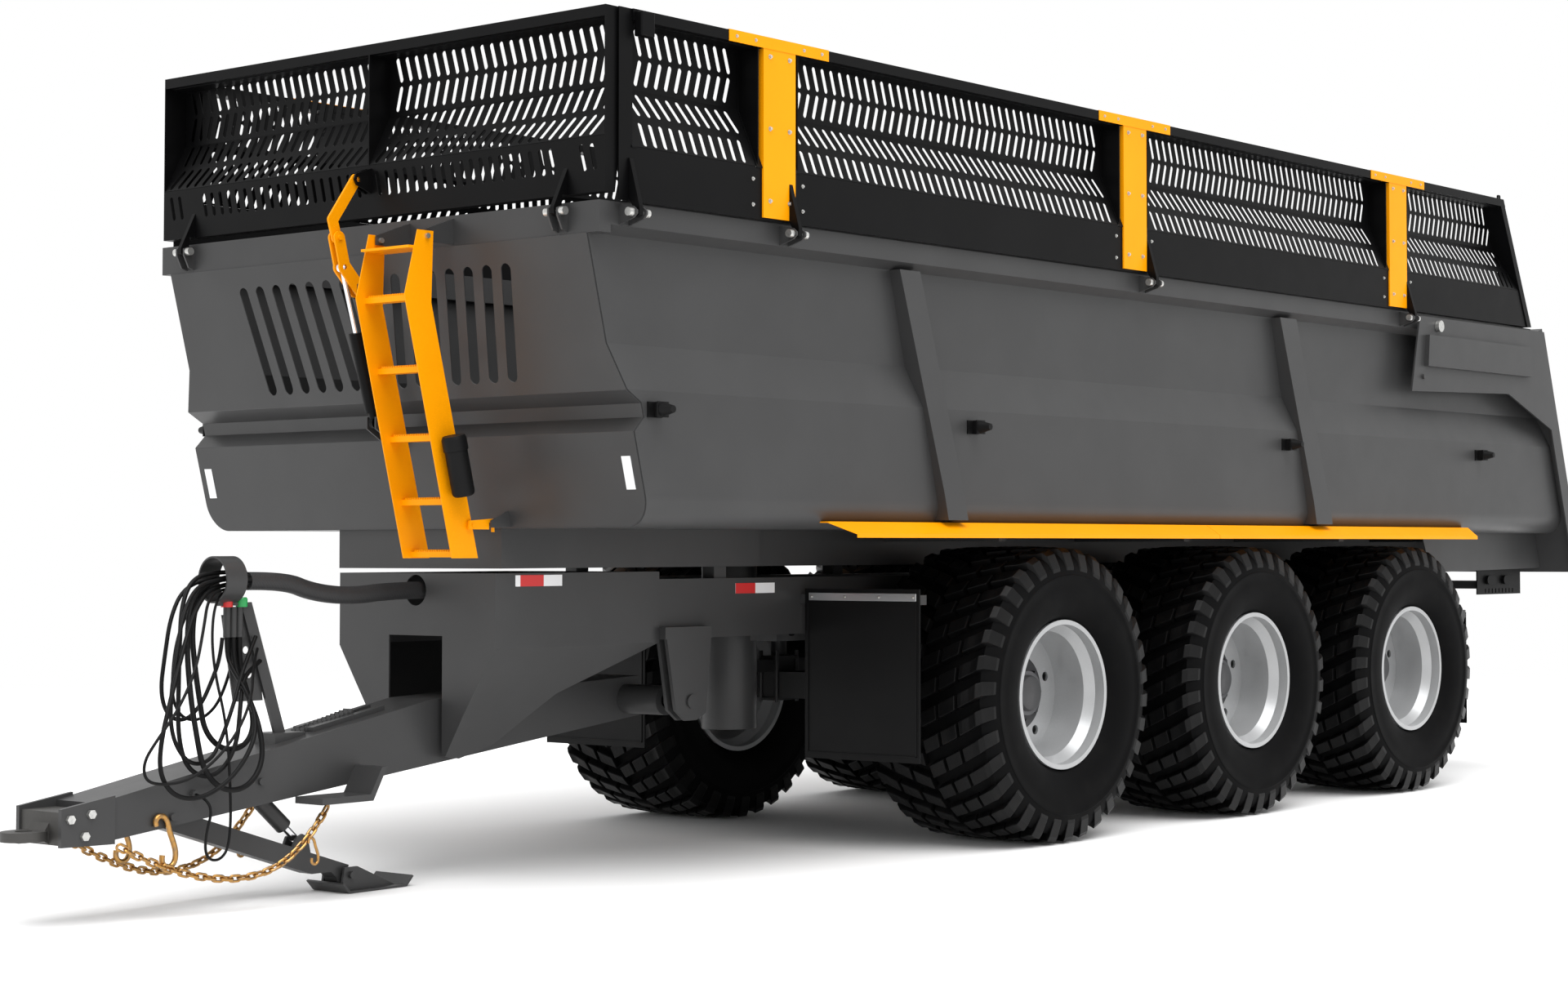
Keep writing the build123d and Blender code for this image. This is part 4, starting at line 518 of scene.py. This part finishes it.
def spline_points(route, steps=8):
    """Points along the smooth curve that a route of control points draws."""
    middles = [(a + b) / 2 for a, b in zip(route, route[1:])]
    middles[0], middles[-1] = route[0], route[-1]
    points = [middles[0]]
    for start_point, corner, end_point in zip(middles, route[1:], middles[1:]):
        for step in range(1, steps + 1):
            share = step / steps
            points.append(start_point.lerp(corner, share).lerp(corner.lerp(end_point, share), share))
    return points


def length_of(points):
    """The length of a line through points."""
    return sum((b - a).length for a, b in zip(points, points[1:]))


def tube(name, route, diameter, surface):
    """A round tube along a smooth curve, as one open spline."""
    curve = bpy.data.curves.new(name, "CURVE")
    curve.dimensions = "3D"
    curve.bevel_depth = diameter / 2
    curve.bevel_resolution = 5
    curve.resolution_u = 12
    curve.use_fill_caps = True
    spline = curve.splines.new("NURBS")
    spline.points.add(len(route) - 1)
    for point, place in zip(spline.points, route):
        point.co = (*place, 1)
    spline.order_u = 3
    spline.use_endpoint_u = True
    thing = bpy.data.objects.new(name, curve)
    scene.collection.objects.link(thing)
    curve.materials.append(surface.material)
    return thing


hoses = {
    "hose_bundle": (0.084, sleeve, [
        (-5.040, 0, 1.386), (-5.260, 0, 1.386), (-5.500, 0.006, 1.362), (-5.720, 0.008, 1.385),
        (-5.880, 0, 1.440), (-6.090, 0, 1.440),
    ]),
    "hose_loop_1": (0.024, black_rubber, [
        (-6.090, -0.016, 1.460), (-6.265, -0.016, 1.460), (-6.420, -0.042, 1.370),
        (-6.492, -0.110, 1.170), (-6.528, -0.192, 0.940), (-6.528, -0.236, 0.780),
        (-6.510, -0.258, 0.632), (-6.413, -0.262, 0.535), (-6.277, -0.255, 0.535),
        (-6.180, -0.240, 0.632), (-6.160, -0.200, 0.780), (-6.160, -0.110, 0.930),
        (-6.166, -0.005, 1.060), (-6.166, -0.005, 1.190),
    ]),
    "hose_loop_2": (0.024, black_rubber, [
        (-6.090, 0.014, 1.462), (-6.225, 0.014, 1.462), (-6.355, -0.008, 1.390),
        (-6.438, -0.072, 1.230), (-6.460, -0.130, 1.060), (-6.452, -0.155, 0.915),
        (-6.435, -0.165, 0.790), (-6.350, -0.172, 0.705), (-6.230, -0.168, 0.705),
        (-6.145, -0.135, 0.790), (-6.132, -0.080, 0.920), (-6.132, -0.005, 1.055),
        (-6.132, -0.005, 1.190),
    ]),
    "hose_loop_3": (0.020, black_rubber, [
        (-6.090, -0.020, 1.432), (-6.280, -0.020, 1.432), (-6.430, -0.090, 1.330),
        (-6.560, -0.180, 1.150), (-6.670, -0.250, 0.950), (-6.745, -0.285, 0.770),
        (-6.755, -0.290, 0.630), (-6.680, -0.288, 0.530), (-6.550, -0.300, 0.510),
        (-6.410, -0.330, 0.590), (-6.290, -0.325, 0.740), (-6.230, -0.250, 0.860),
        (-6.205, -0.150, 0.960), (-6.200, -0.050, 1.045), (-6.200, -0.005, 1.112),
        (-6.200, -0.005, 1.190),
    ]),
    "hose_loop_4": (0.012, black_rubber, [
        (-6.090, 0, 1.412), (-6.200, 0, 1.412), (-6.300, -0.050, 1.345), (-6.362, -0.112, 1.192),
        (-6.376, -0.160, 1.030), (-6.362, -0.205, 0.870), (-6.345, -0.215, 0.710),
        (-6.332, -0.212, 0.550), (-6.325, -0.210, 0.400), (-6.340, -0.213, 0.279),
        (-6.384, -0.220, 0.235), (-6.446, -0.232, 0.235), (-6.490, -0.248, 0.279),
        (-6.497, -0.270, 0.370), (-6.480, -0.285, 0.455), (-6.480, -0.238, 0.508),
        (-6.480, -0.172, 0.520),
    ]),
    "hose_loop_5": (0.014, black_rubber, [
        (-6.090, 0.024, 1.434), (-6.230, 0.024, 1.434), (-6.340, 0.070, 1.340),
        (-6.370, 0.130, 1.180), (-6.350, 0.185, 1.000), (-6.320, 0.212, 0.890),
        (-6.262, 0.218, 0.822), (-6.190, 0.198, 0.812), (-6.142, 0.150, 0.868),
        (-6.135, 0.092, 0.960), (-6.140, 0.029, 1.085), (-6.140, 0.029, 1.190),
    ]),
}
extra_hoses = {
    "spare_loop_1": (0.018, [
        (-6.095, -0.038, 1.447), (-6.260, -0.040, 1.452), (-6.400, -0.055, 1.425), (-6.520, -0.120, 1.300),
        (-6.600, -0.185, 1.110), (-6.650, -0.215, 0.920), (-6.645, -0.225, 0.770),
        (-6.560, -0.225, 0.655), (-6.440, -0.215, 0.660), (-6.360, -0.190, 0.760),
        (-6.270, -0.150, 0.900), (-6.190, -0.100, 1.030), (-6.110, -0.055, 1.130), (-6.055, -0.022, 1.190),
    ]),
    "spare_loop_2": (0.018, [
        (-6.095, 0.036, 1.455), (-6.250, 0.040, 1.458), (-6.390, 0.050, 1.415), (-6.480, 0.020, 1.290),
        (-6.530, -0.010, 1.120),
        (-6.560, -0.020, 0.960), (-6.525, -0.030, 0.850), (-6.435, -0.035, 0.830),
        (-6.350, -0.030, 0.900), (-6.290, -0.020, 1.000), (-6.245, -0.020, 1.100), (-6.235, -0.020, 1.190),
    ]),
    "spare_loop_3": (0.013, [
        (-6.095, -0.020, 1.412), (-6.250, -0.040, 1.412), (-6.380, -0.110, 1.370), (-6.480, -0.215, 1.240),
        (-6.590, -0.310, 1.060), (-6.700, -0.340, 0.900), (-6.800, -0.335, 0.780),
        (-6.860, -0.325, 0.690), (-6.840, -0.310, 0.610), (-6.750, -0.305, 0.585),
        (-6.640, -0.340, 0.600), (-6.520, -0.365, 0.680), (-6.400, -0.360, 0.800),
        (-6.290, -0.300, 0.930), (-6.190, -0.180, 1.040), (-6.110, -0.090, 1.100), (-6.045, -0.022, 1.135),
    ]),
    "spare_loop_4": (0.020, [
        (-6.095, 0.000, 1.480), (-6.250, -0.002, 1.484), (-6.385, -0.010, 1.460), (-6.470, -0.045, 1.350),
        (-6.520, -0.100, 1.160), (-6.560, -0.150, 0.960), (-6.575, -0.170, 0.780),
        (-6.540, -0.180, 0.640), (-6.440, -0.190, 0.585), (-6.340, -0.190, 0.630), (-6.275, -0.185, 0.740),
        (-6.235, -0.150, 0.880), (-6.185, -0.100, 1.000), (-6.105, -0.060, 1.050), (-6.030, -0.022, 1.080),
    ]),
}
for name, (diameter, places) in extra_hoses.items():
    route = [at(*place) for place in places]
    hose = tube(name, route, diameter, black_rubber)
    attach(hose, "drawbar")
    length_of(spline_points(route, 24))
    print(name, "length", round(length_of(spline_points(route, 24)), 3))
for node, (diameter, surface, places) in hoses.items():
    route = [at(*place) for place in places]
    hose = tube(node + "_smooth", route, diameter, surface)
    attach(hose, "drawbar")
    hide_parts(node)
    length_of(spline_points(route, 24))
    print(node, "length", round(length_of(spline_points(route, 24)), 3))

# %% [markdown]
# A tyre is a smooth carcass with a raised ring on its sidewall, and a tread of bars that sweep back
# towards the middle. One pitch of the tread is modelled block by block and turned round the axle, so
# that the bars are real steps in the outline. A bump would leave the tyre's edge a plain circle.

# %% Tyres
tyre_half = (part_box("tyre_left_1")[1].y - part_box("tyre_left_1")[0].y) / 2
tyre_radius = (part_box("tyre_left_1")[1].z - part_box("tyre_left_1")[0].z) / 2
rim_low, rim_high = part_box("wheel_left_1")
rim_radius = (rim_high.z - rim_low.z) / 2
lug_count = 34
lug_depth = 0.040
sweep = 0.19
bar_width = 0.57

# The sidewall and crown from the bead to the middle, as width and radius
carcass = [
    (tyre_half - 0.073, rim_radius + 0.002), (tyre_half - 0.040, rim_radius + 0.030),
    (tyre_half - 0.018, rim_radius + 0.075), (tyre_half - 0.004, rim_radius + 0.130),
    (tyre_half - 0.001, rim_radius + 0.180), (tyre_half - 0.003, rim_radius + 0.222),
    (tyre_half - 0.001, rim_radius + 0.226), (tyre_half - 0.001, rim_radius + 0.240),
    (tyre_half - 0.005, rim_radius + 0.244), (tyre_half - 0.012, rim_radius + 0.275),
    (tyre_half - 0.028, rim_radius + 0.318), (tyre_half - 0.052, rim_radius + 0.348),
    (tyre_half - 0.090, tyre_radius - lug_depth - 0.012),
    (tyre_half - 0.150, tyre_radius - lug_depth - 0.004),
    (tyre_half - 0.300, tyre_radius - lug_depth), (0, tyre_radius - lug_depth),
]


def carcass_radius(y):
    """The radius of the crown and shoulder at a distance from the middle."""
    crown = [pair for pair in carcass if pair[1] > rim_radius + 0.24]
    for (wide, low), (narrow, high) in zip(crown, crown[1:]):
        if narrow <= abs(y) <= wide:
            return low + (high - low) * (wide - abs(y)) / (wide - narrow)
    return crown[0][1]


def bar_place(y, edge):
    """Where a bar's edge lies round the tyre at a distance from the middle, in metres."""
    inward = 1 - min(1, abs(y) / (tyre_half - 0.02))
    pitch = 2 * math.pi * tyre_radius / lug_count
    return -sweep * inward ** 0.9 + edge * pitch * bar_width / 2


def tread_pitch(name):
    """One pitch of the tread on both sides of the middle, at the top of the wheel."""
    points, faces = [], []
    spans = ((0.012, 0.114), (0.136, 0.238), (0.258, tyre_half - 0.010))
    for side in (-1, 1):
        for number, (inner, outer) in enumerate(spans):
            steps = 7 if number == 2 else 3
            base = len(points)
            for step in range(steps + 1):
                distance = inner + (outer - inner) * step / steps
                foot = carcass_radius(distance) - 0.006
                fade = min(1, max(0, (tyre_half - 0.004 - distance) / 0.03))
                crown = foot + 0.006 + lug_depth * (0.35 + 0.65 * fade)
                crown = min(crown, tyre_radius)
                for radius, edge in ((foot, -1), (crown, -0.9), (crown, 0.9), (foot, 1)):
                    place = bar_place(distance, edge) + (side > 0) * math.pi * tyre_radius / lug_count
                    angle = place / tyre_radius
                    points.append((radius * math.sin(angle), side * distance, radius * math.cos(angle)))
            for step in range(steps):
                low = base + step * 4
                for corner in range(3):
                    faces.append((low + corner, low + corner + 1, low + corner + 5, low + corner + 4))
            faces.append((base, base + 3, base + 2, base + 1))
            end = base + steps * 4
            faces.append((end, end + 1, end + 2, end + 3))
    return new_mesh(name, points, faces)


for name in wheel_names:
    centre = middle("tyre_" + name)
    # Inner wall of the carcass is left open: the rim covers it
    outline = [(y, radius) for y, radius in carcass[:-1]]
    outline += [(0.0, carcass[-1][1])] + [(-y, radius) for y, radius in reversed(carcass[:-1])]
    body = turned("carcass_" + name, outline, "Y", 136, caps=False)
    body.data.transform(mathutils.Matrix.Translation(centre))
    smoothed(body)
    kept(body, rubber, "wheel_" + name)
    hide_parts("tyre_" + name)
    tread = repeated("tread_" + name, tread_pitch("pitch_" + name), ring_group,
                     {"Count": lug_count, "Centre": centre}, lit_tread_rubber, "wheel_" + name)
    soften = tread.modifiers.new("soften", "BEVEL")
    soften.width = 0.004
    soften.segments = 2
    soften.limit_method = "ANGLE"
print("tyres:", len(wheel_names), "with", lug_count, "pitches of tread each")

# %% [markdown]
# The rim ends in a bright rolled lip, and the hub carries a domed cap. Both are turned shapes: a short
# outline carried round the axle gives a clean edge with few faces.

# %% Wheel details
for name in wheel_names:
    side = -1 if name.startswith("left") else 1
    low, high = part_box("wheel_" + name)
    centre = middle("wheel_" + name)
    face_y = (low.y if side < 0 else high.y)
    lip = turned("rim_lip_" + name, [
        (face_y - side * 0.012, rim_radius - 0.014), (face_y - side * 0.003, rim_radius - 0.011),
        (face_y, rim_radius - 0.004), (face_y - side * 0.004, rim_radius - 0.0005),
        (face_y - side * 0.016, rim_radius - 0.0005)], "Y", 128, caps=False)
    for point in lip.data.vertices:
        point.co += mathutils.Vector((centre.x, 0, centre.z))
    smoothed(lip)
    kept(lip, wheel_silver, "wheel_" + name)
    hub_y = centre.y + side * 0.13
    cap = turned("hub_cap_" + name, [
        (hub_y - side * 0.020, 0.098), (hub_y + side * 0.010, 0.098), (hub_y + side * 0.022, 0.090),
        (hub_y + side * 0.030, 0.070), (hub_y + side * 0.036, 0.0)], "Y", 64)
    for point in cap.data.vertices:
        point.co += mathutils.Vector((centre.x, 0, centre.z))
    smoothed(cap)
    kept(cap, hub_grey, "wheel_" + name)
print("rim lips and hub caps:", 2 * len(wheel_names))

# %% [markdown]
# The safety chains are real links: each is a bent round bar, every second one turned a quarter round
# the chain's own line. One large hook hangs at the beam's side and a small one near the chain's end.
# The links are copied along the route in Python, because each needs its own turn about the chain.

# %% Chains and hooks
link_wire = 0.0062
link_round = 0.0135
link_straight = 0.0130
link_pitch = 2 * (link_straight + link_round) - 2 * link_wire


def bent_bar(name, line_points, wire, closed, sides=8):
    """A round bar along points, joined end to end if closed."""
    count = len(line_points)
    points, faces = [], []
    for number, place in enumerate(line_points):
        before = line_points[number - 1] if closed or number else line_points[0]
        after = line_points[(number + 1) % count] if closed or number < count - 1 else place
        along = (after - before).normalized()
        out = along.cross(mathutils.Vector((0, 1, 0)))
        out = out.normalized() if out.length > 0.2 else mathutils.Vector((0, 0, 1))
        other = along.cross(out)
        for part in range(sides):
            angle = 2 * math.pi * part / sides
            points.append(place + (out * math.cos(angle) + other * math.sin(angle)) * wire)
    for number in range(count if closed else count - 1):
        following = (number + 1) % count
        for part in range(sides):
            faces.append((number * sides + part, following * sides + part,
                          following * sides + (part + 1) % sides, number * sides + (part + 1) % sides))
    if not closed:
        faces.append(tuple(range(sides)))
        faces.append(tuple((count - 1) * sides + part for part in reversed(range(sides))))
    return new_mesh(name, points, faces)


def link_line():
    """The centre line of one chain link, lying along X in the XZ plane."""
    line_points = []
    for end, start_angle in ((1, -90), (-1, 90)):
        for step in range(9):
            angle = math.radians(start_angle + 22.5 * step)
            line_points.append(mathutils.Vector((
                end * link_straight + link_round * math.cos(angle), 0, link_round * math.sin(angle))))
    return line_points


def along_route(route, spacing):
    """Places at even spacing along a route, with the direction there."""
    points = spline_points(route, 30)
    places, walked, wanted = [], 0.0, spacing / 2
    for a, b in zip(points, points[1:]):
        step = (b - a).length
        while walked + step > wanted:
            places.append((a.lerp(b, (wanted - walked) / step), (b - a).normalized()))
            wanted += spacing
        walked += step
    return places


for side in (-1, 1):
    side_name = "left" if side < 0 else "right"
    chain_route = [at(-6.870, side * 0.172, 0.330), at(-6.640, side * 0.178, 0.200),
                   at(-6.270, side * 0.250, 0.125), at(-5.980, side * 0.262, 0.230),
                   at(-5.840, side * 0.255, 0.415)]
    plain = bent_bar("link", link_line(), link_wire, True)
    joined, faces = [], []
    for number, (place, along) in enumerate(along_route(chain_route, link_pitch)):
        spin = mathutils.Matrix.Rotation(math.radians(90 * (number % 2) + 20), 4, "X")
        turn = mathutils.Matrix.Translation(place) @ along.to_track_quat("X", "Z").to_matrix().to_4x4() @ spin
        base = len(joined)
        joined += [turn @ vertex.co for vertex in plain.data.vertices]
        faces += [tuple(base + corner for corner in face.vertices) for face in plain.data.polygons]
    bpy.data.objects.remove(plain)
    chain = smoothed(new_mesh("chain_links_" + side_name, joined, faces))
    kept(chain, gold_zinc, "drawbar")
    if side < 0:
        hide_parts("safety_chains")
    # Large sling hook hung on the beam's side, and a small grab hook lower down
    for label, size, hang in (("large", 1.15, at(-6.645, side * 0.1640, 0.385)),
                              ("small", 0.62, at(-5.925, side * 0.262, 0.262))):
        hook_line = []
        for x, z in ((-0.028, 0.012), (-0.034, 0.030), (-0.020, 0.048), (0.004, 0.048), (0.022, 0.026),
                     (0.030, -0.010), (0.046, -0.048), (0.060, -0.090), (0.056, -0.128), (0.034, -0.146),
                     (0.008, -0.140), (-0.004, -0.118), (0.000, -0.098)):
            hook_line.append(mathutils.Vector((x, 0, z)) * size)
        fine = spline_points(hook_line, 4)
        hook_points = [hang + point for point in fine]
        hook = bent_bar(f"{label}_hook_{side_name}", hook_points, 0.0105 * size, False, 12)
        smoothed(hook)
        kept(hook, gold_zinc, "drawbar")
    print("chain", side_name, "faces", len(faces))

# %% [markdown]
# Hexagon heads hold the posts, their caps and the lower band of each side extension. The places come
# from the posts' own positions, and one head is copied onto all of them.

# %% Bolts
post_places = (-4.290, -1.320, 1.690)
for side in (-1, 1):
    side_name = "left" if side < 0 else "right"
    face_y = side * 1.6002
    spots = []
    for post_x in post_places:
        for across in (-0.068, 0.068):
            spots += [at(post_x + across, face_y, 3.885), at(post_x + across, face_y, 3.205)]
        spots += [at(post_x - 0.068, face_y, 3.545), at(post_x + 0.068, face_y, 3.545)]
    head = hexagon("post_bolt", "Y", 0.012, 0.012)
    head.data.transform(mathutils.Matrix.Scale(side, 4, (0, 1, 0)))
    made = on_spots("post_bolts_" + side_name, head, spots, zinc, side_name + "_side")
    spots = []
    for post_x in post_places:
        for across in (-0.300, -0.170, 0.170, 0.300):
            spots.append(at(post_x + across, side * 1.6032, 3.948))
    head = hexagon("cap_bolt", "Y", 0.009, 0.007)
    head.data.transform(mathutils.Matrix.Scale(side, 4, (0, 1, 0)))
    made = on_spots("cap_bolts_" + side_name, head, spots, zinc, side_name + "_side")
    spots = []
    for post_x in post_places:
        for across in (-0.175, 0.175):
            spots += [at(post_x + across, side * 1.5902, 3.300), at(post_x + across, side * 1.5902, 3.180)]
    head = hexagon("band_bolt", "Y", 0.010, 0.009)
    head.data.transform(mathutils.Matrix.Scale(side, 4, (0, 1, 0)))
    made = on_spots("band_bolts_" + side_name, head, spots, zinc, side_name + "_side")
    print("bolts on the", side_name, "extension, last set:", len(spots))

# %% [markdown]
# Each mudflap hangs from a clamp strip with four bolts and has a raised border moulded into it. The
# border is three thin beads laid on the sheet. On black rubber they are faint, but they are real
# geometry.

# %% Mudflap clamps
clamp_bolts = 4
flaps = (
    ("front", -2.950, (0.588, 1.363), (0.480, 1.370), -1),
    ("rear", 2.850, (0.690, 1.460), (0.390, 1.140), 1),
)
for label, face_x, (inner_y, outer_y), (low_z, high_z), facing_x in flaps:
    for side in (-1, 1):
        side_name = "left" if side < 0 else "right"
        low_y, high_y = sorted((side * (inner_y + 0.03), side * (outer_y - 0.02)))
        low_x, high_x = sorted((face_x, face_x + facing_x * 0.005))
        strip = box_piece(f"flap_strip_{label}_{side_name}", at(low_x, low_y, high_z - 0.062),
                          at(high_x, high_y, high_z - 0.022), aluminium, "chassis")
        head = hexagon("flap_bolt", "X", 0.009, 0.006)
        head.data.transform(mathutils.Matrix.Scale(facing_x, 4, (1, 0, 0)))
        step = (high_y - low_y - 0.04) / (clamp_bolts - 1)
        bolts = repeated(
            f"flap_bolts_{label}_{side_name}", head, row_group,
            {"Count": clamp_bolts, "Start": at(face_x + facing_x * 0.0052, low_y + 0.02, high_z - 0.042),
             "Step": (0, step, 0)}, zinc, "chassis")
        # Moulded border
        edge_low, edge_high = sorted((side * (inner_y + 0.018), side * (outer_y - 0.018)))
        for part, low, high in (
                ("inner", (edge_low, low_z + 0.03), (edge_low + 0.007, high_z - 0.07)),
                ("outer", (edge_high - 0.007, low_z + 0.03), (edge_high, high_z - 0.07)),
                ("foot", (edge_low, low_z + 0.03), (edge_high, low_z + 0.037))):
            bead = box_piece(f"flap_bead_{part}_{label}_{side_name}", at(low_x, low[0], low[1]),
                             at(high_x - (facing_x > 0) * 0.002, high[0], high[1]),
                             black_rubber, "chassis", 0.0015)
print("mudflap clamps:", 2 * len(flaps))

# %% [markdown]
# Reflective strips are thin patches laid on sheets that slope and fold. Their corners are dropped onto
# the CAD along a line, so that a patch lies flat wherever the sheet is. The coupler caps are turned.

# %% Markers
def struck(node, origin, direction):
    """Where a straight line first meets a CAD node, or None."""
    found, place, _, _ = nodes[node].ray_cast(origin, mathutils.Vector(direction))
    return place if found else None


def patch(name, node, corners, direction, lift, surface, body):
    """A thin patch laid on a node: its corners are dropped along a direction onto the surface."""
    back = mathutils.Vector(direction) * -lift
    down = [struck(node, corner, direction) for corner in corners]
    points = [place + back for place in down] + [place + back * 0.1 for place in down]
    faces = [(0, 1, 2, 3), (4, 7, 6, 5), (0, 4, 5, 1), (1, 5, 6, 2), (2, 6, 7, 3), (3, 7, 4, 0)]
    return kept(new_mesh(name, points, faces), surface, body)


def upright_corners(across, up_range, place):
    """The corners of an upright rectangle, from its two widths and its two heights."""
    (near_edge, far_edge), (foot, top) = across, up_range
    return [place(near_edge, foot), place(far_edge, foot), place(far_edge, top), place(near_edge, top)]


for side in (-1, 1):
    side_name = "left" if side < 0 else "right"
    corners = upright_corners((1.462, 1.517), (1.845, 1.993), lambda y, z: at(-7, side * y, z))
    patch("white_reflector_" + side_name, "front_wall", corners, (1, 0, 0), 0.003, white_strip, "hopper")
    corners = upright_corners((-4.98, -4.68), (1.405, 1.458), lambda x, z: at(x, side * 3, z))
    patch("housing_tape_" + side_name, "front_housing", corners, (0, -side, 0), 0.002, tape, "chassis")
    corners = upright_corners((-3.45, -3.15), (1.350, 1.403), lambda x, z: at(x, side * 3, z))
    patch("rail_tape_" + side_name, "chassis_frame", corners, (0, -side, 0), 0.002, tape, "chassis")

for label, color_surface, cap_x, cap_z, cap_y in (
        ("red", red_plastic, -6.206, 1.333, -0.012), ("green", green_plastic, -6.126, 1.333, -0.012)):
    cap = turned("coupler_cap_" + label, [
        (0.0, 0.0), (0.0, 0.026), (0.036, 0.026), (0.043, 0.021), (0.043, 0.0)], "Z", 32)
    cap.data.transform(mathutils.Matrix.Translation(at(cap_x, cap_y, cap_z - 0.008)))
    smoothed(cap)
    kept(cap, color_surface, "drawbar")
print("reflectors, tapes and caps in place")

# %% [markdown]
# A black document tube stands beside the ladder's rail and leans with it. It is one turned outline,
# with a step where the wider lid begins. Whatever holds it to the rail is not modelled.

# %% Document tube
manual = turned("document_tube", [
    (1.820, 0.0), (1.820, 0.042), (1.828, 0.050), (1.840, 0.052), (2.030, 0.052), (2.032, 0.057),
    (2.085, 0.057), (2.100, 0.050), (2.100, 0.0)], "Z", 48)
lean = mathutils.Matrix.Rotation(math.atan(-0.2415), 4, "Y")
foot = mathutils.Vector((0, 0, 1.96))
manual.data.transform(mathutils.Matrix.Translation(at(-5.455, -0.692, 1.96)) @ lean
                      @ mathutils.Matrix.Translation(-foot))
smoothed(manual)
kept(manual, black_rubber, "ladder")

# %% [markdown]
# The ladder's treads are serrated: a row of teeth stands on each rung, set out by the row group. The
# teeth are small and hardly show from the camera, but they are there in a close view.

# %% Treads
tooth_points = [(-0.028, -0.006, 0), (-0.028, 0.006, 0), (-0.028, 0, 0.010),
                (0.028, -0.006, 0), (0.028, 0.006, 0), (0.028, 0, 0.010)]
tooth_faces = [(0, 2, 1), (3, 4, 5), (0, 3, 5, 2), (1, 2, 5, 4), (0, 1, 4, 3)]
rung_places = (2.720, 2.400, 2.090, 1.800, 1.560)
rail_inner_low, rail_inner_high = -0.626, -0.300


def ladder_line(z):
    """The middle of the ladder's rails at a height, from the middle axle."""
    return -5.645 + (2.720 - z) * 0.2415


tooth_step = 0.016
tooth_count = int((rail_inner_high - rail_inner_low - 0.012) / tooth_step)
for number, rung_z in enumerate(rung_places):
    tooth = new_mesh("tooth", tooth_points, tooth_faces)
    teeth = repeated(f"rung_teeth_{number + 1}", tooth, row_group, {
        "Count": tooth_count,
        "Start": at(ladder_line(rung_z), rail_inner_low + 0.012, rung_z + 0.0098),
        "Step": (0, tooth_step, 0)}, yellow_paint, "ladder")
print("teeth on each rung:", tooth_count)

# %% [markdown]
# The same teeth, larger and in the frame's own paint, run along the drawbar's top as a foothold.

# %% Drawbar foothold
strip_start = struck("drawbar_beam", at(-5.800, 0.030, 2), (0, 0, -1))
strip_end = struck("drawbar_beam", at(-5.500, 0.030, 2), (0, 0, -1))
strip_teeth = 13
for number, row_y in enumerate((-0.035, 0.0)):
    big_tooth = new_mesh("big_tooth", [
        (-0.009, -0.016, -0.004), (0.009, -0.016, -0.004), (0.009, 0.016, -0.004), (-0.009, 0.016, -0.004),
        (-0.002, -0.014, 0.018), (0.002, -0.014, 0.018), (0.002, 0.014, 0.018), (-0.002, 0.014, 0.018)],
        [(0, 3, 2, 1), (4, 5, 6, 7), (0, 1, 5, 4), (1, 2, 6, 5), (2, 3, 7, 6), (3, 0, 4, 7)])
    row = repeated(f"foothold_teeth_{number + 1}", big_tooth, row_group, {
        "Count": strip_teeth,
        "Start": strip_start + mathutils.Vector((0, row_y, 0)),
        "Step": (strip_end - strip_start) / (strip_teeth - 1)}, grey_paint, "drawbar")
print("foothold teeth:", 2 * strip_teeth)

# %% [markdown]
# A black latch housing sits at the upper front corner of each side extension, where the front flap
# closes against it.

# %% Corner latches
for side in (-1, 1):
    side_name = "left" if side < 0 else "right"
    low_y, high_y = sorted((side * 1.592, side * 1.640))
    case = box_piece("corner_latch_" + side_name, at(-5.250, low_y, 3.850), at(-5.165, high_y, 3.962),
                     black_paint, side_name + "_side", 0.006)

# %% [markdown]
# A wide pale floor, a pale surround and one soft lamp, nearly overhead and a little to the camera's
# side, as in a studio. The floor glows white far from the cart, so that it meets the surround without
# a line.

# %% Floor and light
floor_mesh = bpy.data.meshes.new("floor")
reach = 140
corners = [(-reach, -reach, 0), (reach, -reach, 0), (reach, reach, 0), (-reach, reach, 0)]
floor_mesh.from_pydata(corners, [], [(0, 1, 2, 3)])
floor = bpy.data.objects.new("floor", floor_mesh)
scene.collection.objects.link(floor)
floor.location.z = -0.0015
floor_surface = Surface("floor", (0.93, 0.93, 0.93), 0.9, glint=0.05)
glow = floor_surface.tree.nodes.new("ShaderNodeEmission")
blend = floor_surface.tree.nodes.new("ShaderNodeMixShader")
output = floor_surface.tree.nodes["Material Output"]
away = (floor_surface.x * floor_surface.x + floor_surface.y * floor_surface.y).math("SQRT")
fade_start, fade_end = 11, 19
floor_surface.tree.links.new(away.smooth(fade_start, fade_end).socket, blend.inputs[0])
floor_surface.tree.links.new(floor_surface.shader.outputs[0], blend.inputs[1])
floor_surface.tree.links.new(glow.outputs[0], blend.inputs[2])
floor_surface.tree.links.new(blend.outputs[0], output.inputs[0])
floor_mesh.materials.append(floor_surface.material)
floor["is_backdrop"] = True

world = bpy.data.worlds.new("surround")
scene.world = world
world.use_nodes = True
background = world.node_tree.nodes["Background"]
background.inputs["Color"].default_value = (1, 1, 1, 1)
background.inputs["Strength"].default_value = 1.0
scene.view_settings.view_transform = "Standard"

sun_data = bpy.data.lights.new("overhead", "SUN")
sun_data.energy = 2.6
sun_data.angle = math.radians(50)
overhead = bpy.data.objects.new("overhead", sun_data)
scene.collection.objects.link(overhead)
overhead.rotation_mode = "QUATERNION"
overhead.rotation_quaternion = mathutils.Vector((0.25, 0.45, -1)).to_track_quat("-Z", "Y")

# %% Finish
low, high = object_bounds()
print("box:", [round(value, 3) for value in (*low, *high)])
